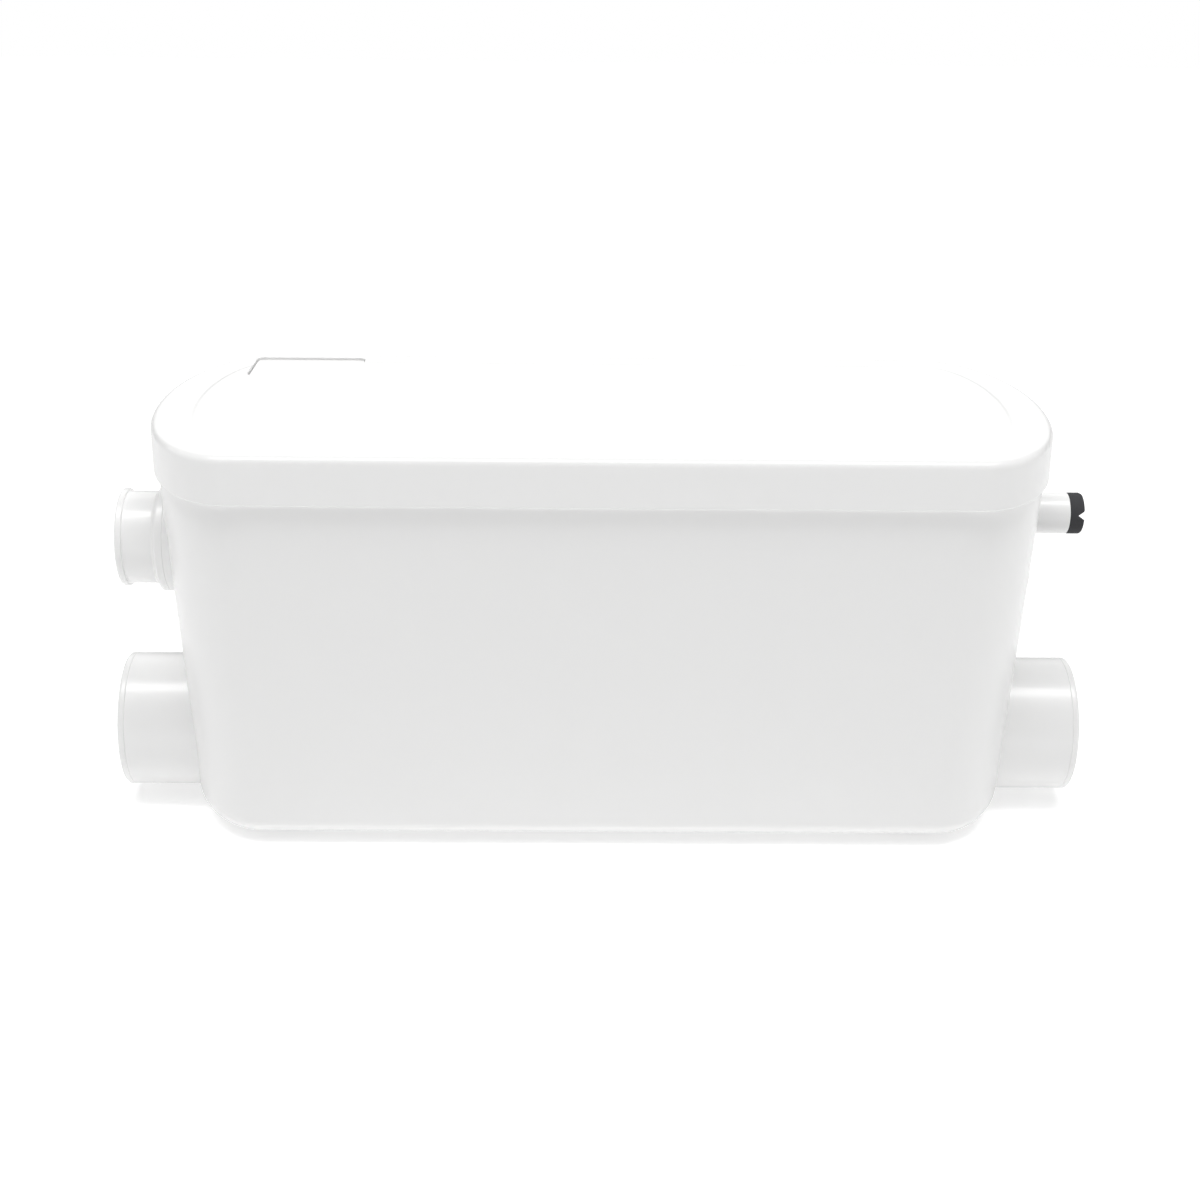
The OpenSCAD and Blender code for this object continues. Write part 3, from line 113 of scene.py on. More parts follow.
@dataclass
class Form:
    """A closed form: points in millimetres from the tank's middle, and the faces over them."""

    points: list[Vector]
    faces: list[tuple[int, ...]]

    def __add__(self, other: "Form") -> "Form":
        """Both forms, side by side in one."""
        start = len(self.points)
        shifted = [tuple(start + i for i in face) for face in other.faces]
        return Form(self.points + other.points, self.faces + shifted)

    def placed(self, matrix: Matrix) -> "Form":
        """The form carried by a matrix."""
        return Form([matrix @ point for point in self.points], list(self.faces))

    def moved(self, x: float = 0.0, y: float = 0.0, z: float = 0.0) -> "Form":
        """The form shifted along the three axes."""
        return self.placed(Matrix.Translation((x, y, z)))

    def spun(self, degrees: float, axis: str = "Z") -> "Form":
        """The form turned about one axis."""
        return self.placed(Matrix.Rotation(math.radians(degrees), 4, axis))

    def along_x(self, side: Side, y: float = 0.0, z: float = 0.0) -> "Form":
        """The form with its Z axis laid along X, outwards on one side of the box."""
        laid = Matrix(((0, 0, side, 0), (0, 1, 0, y), (1, 0, 0, z), (0, 0, 0, 1)))
        return self.placed(laid)

    def cut(self, *tools: "Form") -> "Form":
        """The form with each tool's space taken out."""
        return self._worked(tools, Work.CUT)

    def fused(self, *additions: "Form") -> "Form":
        """The form grown together with each addition."""
        return self._worked(additions, Work.FUSE)

    def _worked(self, tools: Iterable["Form"], work: Work) -> "Form":
        """Works on the form with one tool after the other.

        Args:
            tools: Forms that may each hold several separate solids.
            work: What the tools do.

        Returns:
            The finished form.
        """
        form = self
        for tool in tools:
            pair = [bare_object(form, "worked"), bare_object(tool, "tool")]
            step = pair[0].modifiers.new("step", "BOOLEAN")
            step.operation = work.value
            step.solver = "EXACT"
            step.object = pair[1]
            graph = bpy.context.evaluated_depsgraph_get()
            result = pair[0].evaluated_get(graph)
            mesh = result.to_mesh()
            points = [vertex.co.copy() for vertex in mesh.vertices]
            form = Form(points, [tuple(face.vertices) for face in mesh.polygons])
            result.to_mesh_clear()
            for item in pair:
                data = item.data
                bpy.data.objects.remove(item)
                bpy.data.meshes.remove(data)
        return form


def closed_mesh(form: Form, name: str) -> bpy.types.Mesh:
    """A mesh over a form, with its faces turned outwards."""
    mesh = bpy.data.meshes.new(name)
    mesh.from_pydata([tuple(point) for point in form.points], [], form.faces)
    work = bmesh.new()
    work.from_mesh(mesh)
    bmesh.ops.recalc_face_normals(work, faces=work.faces)
    work.to_mesh(mesh)
    work.free()
    return mesh


def bare_object(form: Form, name: str) -> bpy.types.Object:
    """A scene object over a form, still in millimetres."""
    item = bpy.data.objects.new(name, closed_mesh(form, name))
    bpy.context.scene.collection.objects.link(item)
    return item


def loft(rings: Sequence[Sequence[Sequence[float]]], looped: bool = False) -> Form:
    """Spans rings of equally many points.

    Args:
        rings: The rings in order; each is a closed loop of points.
        looped: Joins the last ring to the first, in place of closing both with flat ends.

    Returns:
        The closed form.
    """
    count = len(rings[0])
    points = [Vector(point) for ring in rings for point in ring]
    faces: list[tuple[int, ...]] = []
    for k in range(len(rings) if looped else len(rings) - 1):
        low, high = k * count, (k + 1) % len(rings) * count
        for i in range(count):
            j = (i + 1) % count
            faces.append((low + i, low + j, high + j, high + i))
    if not looped:
        faces.append(tuple(range(count)))
        faces.append(tuple(range(len(points) - count, len(points))))
    return Form(points, faces)


def eased(corners: Sequence[Corner], closed: bool = True, steps: int = 4) -> list[Pair]:
    """Rounds the corners of a flat outline.

    Args:
        corners: (u, v) or (u, v, rounding) for each corner.
        closed: Whether the last corner joins the first.
        steps: Arc steps at a rounded corner.

    Returns:
        The outline with arcs at its rounded corners.
    """
    outline: list[Pair] = []
    for i, corner in enumerate(corners):
        here = Vector(corner[:2])
        if len(corner) < 3 or (not closed and i in (0, len(corners) - 1)):
            outline.append((here.x, here.y))
            continue
        back = Vector(corners[i - 1][:2]) - here
        ahead = Vector(corners[(i + 1) % len(corners)][:2]) - here
        half = back.angle(ahead) / 2
        reach = min(corner[2] / math.tan(half), 0.48 * back.length, 0.48 * ahead.length)
        bend = reach * math.tan(half)
        inward = (back.normalized() + ahead.normalized()).normalized()
        centre = here + inward * (bend / math.sin(half))
        start = here + back.normalized() * reach - centre
        end = here + ahead.normalized() * reach - centre
        first = math.atan2(start.y, start.x)
        sweep = (math.atan2(end.y, end.x) - first + math.pi) % math.tau - math.pi
        for k in range(steps + 1):
            angle = first + sweep * k / steps
            outline.append((centre.x + bend * math.cos(angle), centre.y + bend * math.sin(angle)))
    return outline


def joined(forms: Iterable[Form]) -> Form:
    """All forms side by side in one."""
    whole = Form([], [])
    for form in forms:
        whole += form
    return whole


def in_quarters(form: Form, place: Pair) -> Form:
    """Four copies of a form, at a place and its mirror images."""
    return joined(form.moved(x * place[0], y * place[1]) for x, y in QUARTERS)


def turned(profile: Sequence[Pair], hollow: bool = False, steps: int = Facets.WIDE) -> Form:
    """Turns a profile of (height, radius) pairs about the Z axis.

    Args:
        profile: From the lower flat end to the upper one, or a closed loop for a hollow form.
        hollow: Whether the profile is a closed loop round a bore.
        steps: Facets round the axis.

    Returns:
        The turned form.
    """
    rings = []
    for height, radius in profile:
        ring = []
        for i in range(steps):
            angle = math.tau * i / steps
            ring.append((radius * math.cos(angle), radius * math.sin(angle), height))
        rings.append(ring)
    return loft(rings, looped=hollow)


def lathed(corners: Sequence[Corner], steps: int = Facets.WIDE, arc: int = 4) -> Form:
    """Turns an outline that starts and ends on the axis, with its marked corners rounded."""
    return turned(eased(corners, closed=False, steps=arc)[1:-1], steps=steps)


def lathed_ring(corners: Sequence[Corner], steps: int = Facets.WIDE, arc: int = 4) -> Form:
    """Turns a closed outline round a bore, with its marked corners rounded."""
    return turned(eased(corners, steps=arc), hollow=True, steps=steps)


def rod(radius: float, low: float, high: float, edge: float = 0.0, steps: int = Facets.ROD) -> Form:
    """A round rod along Z, with eased ends."""
    corners = [(low, radius, edge), (high, radius, edge)] if edge else [(low, radius), (high, radius)]
    return lathed([(low, 0.0), *corners, (high, 0.0)], steps)


def rounded_outline(half: Pair, rounding: Pair, steps: int) -> list[Pair]:
    """A rectangle about the middle, with a quarter of an ellipse at each corner.

    Args:
        half: Half the width and half the depth.
        rounding: How far each corner's ellipse reaches along X and along Y.
        steps: Arc steps at each corner.

    Returns:
        The outline, counter-clockwise from the right-hand end.
    """
    points: list[Pair] = []
    for quarter, (side_x, side_y) in enumerate(QUARTERS):
        for i in range(steps + 1):
            angle = math.pi / 2 * (quarter + i / steps)
            x = side_x * (half[0] - rounding[0]) + rounding[0] * math.cos(angle)
            points.append((x, side_y * (half[1] - rounding[1]) + rounding[1] * math.sin(angle)))
    return points


def slab(width: float, depth: float, height: float, corner: float, edge: float = 0.3) -> Form:
    """An upright slab with round corners and eased edges, that stands on the XY plane.

    Args:
        width: Size along X.
        depth: Size along Y.
        height: Size along Z.
        corner: Radius of the upright corners.
        edge: Radius of the upper and lower edges, 0 for sharp ones.

    Returns:
        The slab.
    """
    steps, least = 3 if edge else 0, 0.05
    levels = [(edge * (1 - math.sin(t)), edge * (1 - math.cos(t)))
              for t in (math.pi / 2 * i / max(steps, 1) for i in range(steps + 1))]
    levels += [(inset, height - z) for inset, z in reversed(levels)]
    rings = []
    for inset, z in levels:
        turn = max(corner - inset, least)
        flat = rounded_outline((width / 2 - inset, depth / 2 - inset), (turn, turn), CORNER_STEPS)
        rings.append([(x, y, z) for x, y in flat])
    return loft(rings)


def block(width: float, depth: float, height: float) -> Form:
    """A plain cutting block that stands on the XY plane."""
    return loft([[(x * width / 2, y * depth / 2, z) for x, y in QUARTERS] for z in (0.0, height)])


def hex_nut(sides: int, reach: float, height: float, bore: float, edge: float = 0.7) -> Form:
    """A flat-sided nut with a bore along Z and eased corners at both faces.

    Args:
        sides: Number of flats.
        reach: Distance from the axis to a corner.
        height: Thickness of the nut.
        bore: Radius of the bore.
        edge: How far the corners are turned down at each face.

    Returns:
        The nut.
    """
    steps_per_flat, rise = 12, 0.7 * edge
    count = sides * steps_per_flat
    half = math.pi / sides
    flat_reach = reach * math.cos(half)

    def ring(limit: float, z: float) -> list[Spot]:
        """One outline of the nut, nowhere wider than a limit."""
        points = []
        for i in range(count):
            angle = math.tau * i / count
            off = (angle + half) % (2 * half) - half if sides % 2 else angle % (2 * half) - half
            radius = min(flat_reach / math.cos(off), limit)
            points.append((radius * math.cos(angle), radius * math.sin(angle), z))
        return points

    low = [ring(reach - edge, 0.0), ring(reach, rise)]
    high = [ring(reach, height - rise), ring(reach - edge, height)]
    return loft([*low, *high, ring(bore, height), ring(bore, 0.0)], looped=True)


def screw(head: float, head_height: float, shank: float, length: float) -> Form:
    """A pan-head screw with a cross recess; its head starts at height zero.

    Args:
        head: Radius of the head.
        head_height: Height of the head.
        shank: Radius of the shank.
        length: Length of the shank below the head.

    Returns:
        The screw.
    """
    crown, recess = 0.55 * head_height, 0.6 * head_height
    tip_r, shoulder_r, top_r = 0.6 * shank, 0.68 * head, 0.2 * head
    slot_l, slot_w, slot_corner = 1.15 * head, 0.3 * head, 0.1
    profile = eased([
        (-length, tip_r), (-length + shank, shank, 0.2), (0.0, shank), (0.0, head, 0.12),
        (head_height - crown, head, 0.3), (head_height - 0.18 * crown, shoulder_r, 0.5 * head),
        (head_height, top_r)], closed=False)
    arms = slab(slot_l, slot_w, head_height, slot_corner, 0.0)
    cross = arms.fused(arms.spun(90)).moved(z=head_height - recess)
    return turned(profile, steps=Facets.HEAD).cut(cross)


def tube_along(path: Sequence[tuple[Vector, Vector]], radius: float) -> list[list[Vector]]:
    """Rings of a tube whose path lies in the XZ plane.

    Args:
        path: The path's points, each with the direction of the path there.
        radius: Radius of the tube.

    Returns:
        One ring for each point of the path.
    """
    rings = []
    across = Vector((0.0, 1.0, 0.0))
    turns = [math.tau * i / Facets.HOSE for i in range(Facets.HOSE)]
    for point, along in path:
        out = along.cross(across).normalized()
        rings.append([point + radius * (math.cos(turn) * across + math.sin(turn) * out) for turn in turns])
    return rings


class Sheet:
    """Lays nodes in one shader tree and wires them."""

    def __init__(self, tree: bpy.types.NodeTree) -> None:
        """Keeps the tree that the nodes go into."""
        self.tree = tree

    def add(self, kind: str, values: dict[str | int, object] | None = None,
            **settings: object) -> bpy.types.Node:
        """Adds one node.

        Args:
            kind: The node's type, without its ShaderNode prefix.
            values: What each named or numbered input holds; another node's output is wired in.
            settings: Properties of the node itself.

        Returns:
            The new node.
        """
        node = self.tree.nodes.new("ShaderNode" + kind)
        for name, value in settings.items():
            setattr(node, name, value)
        for name, value in (values or {}).items():
            self.feed(node.inputs[name], value)
        return node

    def feed(self, socket: bpy.types.NodeSocket, value: object) -> None:
        """Puts a value in a socket, or wires an output to it."""
        if isinstance(value, bpy.types.NodeSocket):
            self.tree.links.new(value, socket)
        else:
            socket.default_value = value

    def blended(self, share: object, low: object, high: object) -> bpy.types.NodeSocket:
        """A colour between two colours."""
        node = self.add("Mix", {0: share}, data_type="RGBA")
        self.feed(node.inputs[6], low)
        self.feed(node.inputs[7], high)
        return node.outputs[2]

    def ranged(self, value: object, low: float, high: float, to_low: object = 0.0,
               to_high: object = 1.0) -> bpy.types.NodeSocket:
        """A value carried from one range to another and kept inside it."""
        ends = {0: value, 1: low, 2: high, 3: to_low, 4: to_high}
        return self.add("MapRange", ends).outputs[0]

    def product(self, first: object, second: object) -> bpy.types.NodeSocket:
        """Two values multiplied."""
        return self.add("Math", {0: first, 1: second}, operation="MULTIPLY").outputs[0]

    def noise(self, scale: object, detail: float) -> bpy.types.NodeSocket:
        """Cloudy noise over the object's own coordinates."""
        place = self.add("TexCoord").outputs["Object"]
        return self.add("TexNoise", {"Vector": place, "Scale": scale, "Detail": detail}).outputs[0]


class Effects:
    """The shader node groups that several finishes share. Each is built once."""

    @staticmethod
    def _group(name: str, inputs: dict[str, float | Colour], outputs: dict[str, str]) -> tuple:
        """Starts a node group.

        Args:
            name: The group's name.
            inputs: Each input's name and value; three numbers make a colour.
            outputs: Each output's name and its kind, Float or Color.

        Returns:
            The tree's sheet, the inputs' sockets and the output node's sockets.
        """
        tree = bpy.data.node_groups.new(name, "ShaderNodeTree")
        for label, value in inputs.items():
            coloured = isinstance(value, tuple)
            kind = "NodeSocketColor" if coloured else "NodeSocketFloat"
            socket = tree.interface.new_socket(label, in_out="INPUT", socket_type=kind)
            socket.default_value = (*value, 1.0) if coloured else value
        for label, kind in outputs.items():
            tree.interface.new_socket(label, in_out="OUTPUT", socket_type="NodeSocket" + kind)
        entry = tree.nodes.new("NodeGroupInput").outputs
        return Sheet(tree), entry, tree.nodes.new("NodeGroupOutput").inputs

    @classmethod
    @cache
    def grain(cls) -> bpy.types.NodeTree:
        """Fine moulded grain: a height for the bump and a spread for the roughness."""
        inputs = {"Scale": 1200.0, "Low": 0.3, "High": 0.4}
        sheet, entry, end = cls._group("Moulded Grain", inputs, {"Height": "Float", "Roughness": "Float"})
        sheet.feed(end["Height"], sheet.noise(entry["Scale"], detail=3.0))
        wide = sheet.noise(sheet.product(entry["Scale"], 0.03), detail=4.0)
        sheet.feed(end["Roughness"], sheet.ranged(wide, 0.3, 0.7, entry["Low"], entry["High"]))
        return sheet.tree

    @classmethod
    @cache
    def mottling(cls) -> bpy.types.NodeTree:
        """Faint cloudiness of a coloured surface."""
        inputs = {"Colour": (0.8, 0.8, 0.8), "Darker": (0.7, 0.7, 0.7), "Scale": 25.0}
        sheet, entry, end = cls._group("Mottling", inputs, {"Colour": "Color"})
        share = sheet.ranged(sheet.noise(entry["Scale"], detail=5.0), 0.35, 0.7)
        sheet.feed(end["Colour"], sheet.blended(share, entry["Colour"], entry["Darker"]))
        return sheet.tree

    @classmethod
    @cache
    def edge_wear(cls) -> bpy.types.NodeTree:
        """A mask over the outward edges that hands and tools rub."""
        sheet, entry, end = cls._group("Edge Wear", {"Amount": 0.5}, {"Mask": "Float"})
        edge = sheet.add("NewGeometry").outputs["Pointiness"]
        rubbed = sheet.ranged(edge, 0.51, 0.58)
        broken = sheet.ranged(sheet.noise(90.0, detail=4.0), 0.4, 0.6, 0.2)
        sheet.feed(end["Mask"], sheet.product(sheet.product(rubbed, broken), entry["Amount"]))
        return sheet.tree

    @classmethod
    @cache
    def dust(cls) -> bpy.types.NodeTree:
        """A mask over upward faces where dust settles in patches."""
        sheet, entry, end = cls._group("Settled Dust", {"Amount": 0.2}, {"Mask": "Float"})
        normal = sheet.add("NewGeometry").outputs["Normal"]
        upward = sheet.add("SeparateXYZ", {0: normal}).outputs["Z"]
        facing = sheet.ranged(upward, 0.3, 1.0)
        cover = sheet.ranged(sheet.noise(40.0, detail=6.0), 0.35, 0.75)
        sheet.feed(end["Mask"], sheet.product(sheet.product(facing, cover), entry["Amount"]))
        return sheet.tree

    @classmethod
    @cache
    def strokes(cls) -> bpy.types.NodeTree:
        """Long fine marks, as of a lathe, a draw plate or stacked sheet, spread along Z or about it."""
        inputs = {"Along Z": 2000.0, "Across": 60.0}
        sheet, entry, end = cls._group("Drawn Strokes", inputs, {"Height": "Float"})
        place = sheet.add("TexCoord").outputs["Object"]
        scale = sheet.add("CombineXYZ", {"X": entry["Across"], "Y": entry["Across"], "Z": entry["Along Z"]})
        pulled = sheet.add("VectorMath", {0: place, 1: scale.outputs[0]}, operation="MULTIPLY")
        marks = sheet.add("TexNoise", {"Vector": pulled.outputs[0], "Scale": 1.0, "Detail": 2.0})
        sheet.feed(end["Height"], marks.outputs[0])
        return sheet.tree


@dataclass(frozen=True)
class Finish:
    """How one material of the pump looks. Lengths are in millimetres."""

    name: str
    colour: Colour
    roughness: float
    spread: float = 0.06
    metallic: float = 0.0
    ior: float = 1.5
    mottle: float = 0.04
    mottle_size: float = 40.0
    grain_size: float = 0.8
    grain_depth: float = 0.01
    strokes: Pair | None = None
    wear: float = 0.0
    rubbed: float = 0.35
    dust: float = 0.0
    dust_colour: Colour = (0.62, 0.6, 0.56)

    def material(self) -> bpy.types.Material:
        """The finish's material, made the first time that it is asked for."""
        if self.name in bpy.data.materials:
            return bpy.data.materials[self.name]
        material = bpy.data.materials.new(self.name)
        material.use_nodes = True
        material.diffuse_color = (*self.colour, 1.0)
        sheet = Sheet(material.node_tree)
        shader = material.node_tree.nodes["Principled BSDF"]
        shader.inputs["Metallic"].default_value = self.metallic
        shader.inputs["IOR"].default_value = self.ior
        grains = {"Scale": 1 / (self.grain_size * MM), "Low": self.roughness - self.spread / 2,
                  "High": self.roughness + self.spread / 2}
        grain = sheet.add("Group", grains, node_tree=Effects.grain())
        sheet.feed(shader.inputs["Roughness"], grain.outputs["Roughness"])
        sheet.feed(shader.inputs["Base Color"], self._colour(sheet))
        height = grain.outputs["Height"]
        if self.strokes:
            along, across = self.strokes
            marks = {"Along Z": 1 / (along * MM), "Across": 1 / (across * MM)}
            height = sheet.add("Group", marks, node_tree=Effects.strokes()).outputs["Height"]
        bump = sheet.add("Bump", {"Height": height, "Distance": self.grain_depth * MM, "Strength": 1.0})
        sheet.feed(shader.inputs["Normal"], bump.outputs[0])
        return material

    def _colour(self, sheet: Sheet) -> bpy.types.NodeSocket:
        """The colour over the surface, with its cloudiness, rubbed edges and dust.

        Args:
            sheet: Where the nodes go.

        Returns:
            The socket that carries the colour.
        """
        darker = [part * (1 - self.mottle) for part in self.colour]
        scale = 1 / (self.mottle_size * MM)
        clouds = {"Colour": (*self.colour, 1.0), "Darker": (*darker, 1.0), "Scale": scale}
        colour = sheet.add("Group", clouds, node_tree=Effects.mottling()).outputs[0]
        if self.wear:
            worn = sheet.add("Group", {"Amount": self.wear}, node_tree=Effects.edge_wear())
            lighter = [part + (1 - part) * self.rubbed for part in self.colour]
            colour = sheet.blended(worn.outputs[0], colour, (*lighter, 1.0))
        if self.dust:
            settled = sheet.add("Group", {"Amount": self.dust}, node_tree=Effects.dust())
            colour = sheet.blended(settled.outputs[0], colour, (*self.dust_colour, 1.0))
        return colour


WHITE_ABS = Finish("white_abs", (0.885, 0.885, 0.905), 0.36, ior=1.53, mottle=0.012, mottle_size=60.0,
                   grain_size=0.7, grain_depth=0.004)
BLACK_RUBBER = Finish("black_rubber", (0.035, 0.035, 0.036), 0.5, spread=0.12, mottle=0.2,
                      grain_size=0.5, grain_depth=0.012, wear=0.12)
HOSE_RUBBER = Finish("hose_rubber", (0.028, 0.028, 0.03), 0.62, spread=0.12, mottle=0.2,
                     grain_size=0.6, grain_depth=0.03, dust=0.05)
GREY_PLASTIC = Finish("grey_plastic", (0.3, 0.32, 0.34), 0.45, spread=0.08, mottle=0.06,
                      grain_size=0.6, grain_depth=0.008, wear=0.1)
STEEL = Finish("steel", (0.6, 0.61, 0.63), 0.27, spread=0.12, metallic=1.0, mottle=0.06,
               mottle_size=6.0, grain_size=0.3, grain_depth=0.003, wear=0.2)
CAST_METAL = Finish("cast_metal", (0.56, 0.57, 0.59), 0.45, spread=0.12, metallic=1.0, mottle=0.08,
                    mottle_size=12.0, grain_size=0.9, grain_depth=0.03, wear=0.25)
SHEET_STACK = Finish("sheet_stack", (0.36, 0.37, 0.39), 0.42, metallic=1.0, mottle=0.1,
                     strokes=(0.5, 80.0), grain_depth=0.12)
WOUND_COPPER = Finish("wound_copper", (0.62, 0.26, 0.1), 0.32, metallic=1.0, mottle=0.25,
                      mottle_size=3.0, strokes=(0.6, 30.0), grain_depth=0.25)
BRASS = Finish("brass", (0.72, 0.53, 0.24), 0.3, metallic=1.0, mottle=0.08, mottle_size=3.0,
               grain_size=0.3, grain_depth=0.004, wear=0.2)
CARBON_FOAM = Finish("carbon_foam", (0.03, 0.03, 0.032), 0.9, mottle=0.5, mottle_size=1.6,
                     grain_size=1.1, grain_depth=0.6)
CAN_WHITE = Finish("can_white", (0.78, 0.78, 0.76), 0.42, mottle=0.03, grain_size=0.5, grain_depth=0.005)
NYLON_WHITE = Finish("nylon_white", (0.82, 0.81, 0.77), 0.4, mottle=0.03, grain_size=0.4,
                     grain_depth=0.006)
SWITCH_BLACK = Finish("switch_black", (0.045, 0.045, 0.048), 0.38, spread=0.1, mottle=0.1,
                      grain_size=0.5, grain_depth=0.008, wear=0.15)

FINISH_OF_SLOT = {
    "white_abs": WHITE_ABS, "black_rubber": BLACK_RUBBER, "hose_rubber": HOSE_RUBBER,
    "grey_plastic": GREY_PLASTIC, "steel": STEEL, "motor_metal": CAST_METAL,
    "lamination": SHEET_STACK, "copper": WOUND_COPPER, "brass": BRASS, "carbon": CARBON_FOAM,
    "capacitor_white": CAN_WHITE, "terminal_white": NYLON_WHITE, "switch_black": SWITCH_BLACK}


@dataclass
class Bench:
    """Puts finished pieces on the frame: place, body, slot and finish. Angles are in degrees."""

    middle_x: float
    body_of_node: dict[str, str]
    slot_of_node: dict[str, str]
    crease: float = 32.0
    flat_turn: float = 0.6
    hard_turn: float = 40.0
    weld: float = 1e-7

    @classmethod
    def over(cls, packed: dict) -> "Bench":
        """The bench for a loaded frame, whose tank stands about the lid's middle."""
        low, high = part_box("lid")
        record = packed["record"]
        bodies = {node: body for body, nodes in record["behaviour"]["bodies"].items() for node in nodes}
        slots = {part["node"]: part["material_slot"] for part in record["subparts"]}
        return cls((low.x + high.x) / 2, bodies, slots)

    def fit(self, name: str, form: Form, *nodes: str, finish: Finish | None = None,
            crease: float | None = None) -> bpy.types.Object:
        """Makes a piece that stands for CAD nodes and rides with the first of them.

        Args:
            name: The piece's name.
            form: Its form, in millimetres from the tank's middle.
            nodes: The CAD nodes that it stands for.
            finish: Its finish, where that isn't the one of the node's slot.
            crease: Edges sharper than this stay crisp, where that isn't the bench's own angle.

        Returns:
            The piece.
        """
        to_frame = Matrix.Translation((self.middle_x, 0, 0)) @ Matrix.Scale(MM, 4)
        mesh = closed_mesh(form.placed(to_frame), name)
        return self._finished(name, mesh, nodes, finish, crease or self.crease)

    def soften(self, name: str, node: str, edge: float = 0.3) -> bpy.types.Object:
        """Makes a piece from a CAD node's own shape, with its hard edges eased.

        Args:
            name: The piece's name.
            node: The CAD node that it stands for.
            edge: Width of the eased edge, in millimetres.

        Returns:
            The piece.
        """
        mesh = bpy.data.meshes.new(name)
        work = bmesh.new()
        work.from_mesh(frame["nodes"][node].data)
        bmesh.ops.remove_doubles(work, verts=work.verts, dist=self.weld)
        flat = math.radians(self.flat_turn)
        bmesh.ops.dissolve_limit(work, angle_limit=flat, verts=work.verts, edges=work.edges)
        work.to_mesh(mesh)
        work.free()
        item = bpy.data.objects.new(name, mesh)
        bpy.context.scene.collection.objects.link(item)
        ease = item.modifiers.new("ease", "BEVEL")
        ease.width = edge * MM
        ease.segments = 2
        ease.limit_method = "ANGLE"
        ease.angle_limit = math.radians(self.hard_turn)
        ease.miter_outer = "MITER_ARC"
        graph = bpy.context.evaluated_depsgraph_get()
        soft = bpy.data.meshes.new_from_object(item.evaluated_get(graph))
        bpy.data.objects.remove(item)
        soft.materials.clear()
        return self._finished(name, soft, (node,), None, self.crease)

    def _finished(self, name: str, mesh: bpy.types.Mesh, nodes: Sequence[str], finish: Finish | None,
                  crease: float) -> bpy.types.Object:
        """Shades a mesh, dresses it and hangs it on its body.

        Args:
            name: The piece's name.
            mesh: Its mesh, in metres.
            nodes: The CAD nodes that it stands for.
            finish: Its finish, or None for the one of the node's slot.
            crease: Edges sharper than this stay crisp.

        Returns:
            The piece.
        """
        mesh.shade_smooth()
        mesh.set_sharp_from_angle(angle=math.radians(crease))
        item = bpy.data.objects.new(name, mesh)
        bpy.context.scene.collection.objects.link(item)
        flats_first = item.modifiers.new("flats_first", "WEIGHTED_NORMAL")
        flats_first.keep_sharp = True
        graph = bpy.context.evaluated_depsgraph_get()
        shaded = bpy.data.meshes.new_from_object(item.evaluated_get(graph))
        item.modifiers.clear()
        item.data = shaded
        shaded.name = name
        slot = self.slot_of_node[nodes[0]]
        shaded.materials.clear()
        shaded.materials.append((finish or FINISH_OF_SLOT[slot]).material())
        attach(item, self.body_of_node[nodes[0]])
        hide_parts(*nodes)
        log.info("%s: %d faces", name, len(shaded.polygons))
        return item

    def dress_frame(self) -> None:
        """Gives every CAD node the finish of its slot, also the ones that a piece stands for."""
        for node, item in frame["nodes"].items():
            item.data.materials.clear()
            item.data.materials.append(FINISH_OF_SLOT[self.slot_of_node[node]].material())


@dataclass
class BoxShape:
    """The bowed outlines of the lid and the tank, in millimetres."""

    lid_half_width: float = 165.0
    lid_half_depth: float = 73.5
    lid_bow: float = 36.3
    lid_flat: float = 0.5
    overhang: float = 1.8
    draft: float = 8.7
    bow_top: float = 40.0
    bow_low: float = 30.0
    flat_top: float = 4.7
    flat_low: float = 13.0
    foot: float = 3.0
    wall: float = 3.0
    tank_top: float = 134.7
    skirt_low: float = 135.0
    edge_top: float = 152.5
    panel_top: float = 152.9
    rim_inset: float = 2.0
    rim_width: float = 2.5
    rim_top: float = 141.7
    seal_top: float = 143.7
    post_place: Pair = (60, 47)
    post_r: float = 6.0
    post_top: float = 47.0

    @property
    def rim_inner(self) -> float:
        """How far the inside of the rim is set in."""
        return self.rim_inset + self.rim_width

    @property
    def floor(self) -> float:
        """Height of the tank's inside floor."""
        return self.foot + self.wall

    @property
    def ceiling(self) -> float:
        """Height of the lid's underside."""
        return self.edge_top - self.wall

    def lid_ring(self, inset: float, z: float) -> list[Spot]:
        """The lid's outline, set in by a distance, at height z."""
        half = self.lid_half_width - inset, self.lid_half_depth - inset
        flat = rounded_outline(half, (self.lid_bow - inset, half[1] - self.lid_flat), BOW_STEPS)
        return [(x, y, z) for x, y in flat]

    def tank_ring(self, inset: float, z: float, cut_at: float | None = None) -> list[Spot]:
        """The tank's outline at height z.

        Args:
            inset: How far the outline is set in.
            z: Height of the ring.
            cut_at: Height whose outline it has, where that isn't z.

        Returns:
            The ring's points.
        """
        level = z if cut_at is None else cut_at
        share = (level - self.foot) / (self.tank_top - self.foot)
        half_width = self.wall_x(level) - inset
        half_depth = half_width + self.lid_half_depth - self.lid_half_width
        flat_end = self.flat_low + (self.flat_top - self.flat_low) * share
        bow = self.bow_low + (self.bow_top - self.bow_low) * share
        flat = rounded_outline((half_width, half_depth), (bow - inset, half_depth - flat_end), BOW_STEPS)
        return [(x, y, z) for x, y in flat]

    def wall_x(self, z: float) -> float:
        """Distance from the middle to the outside of the tank's end at height z."""
        lean = self.draft * (self.tank_top - z) / (self.tank_top - self.foot)
        return self.lid_half_width - self.overhang - lean


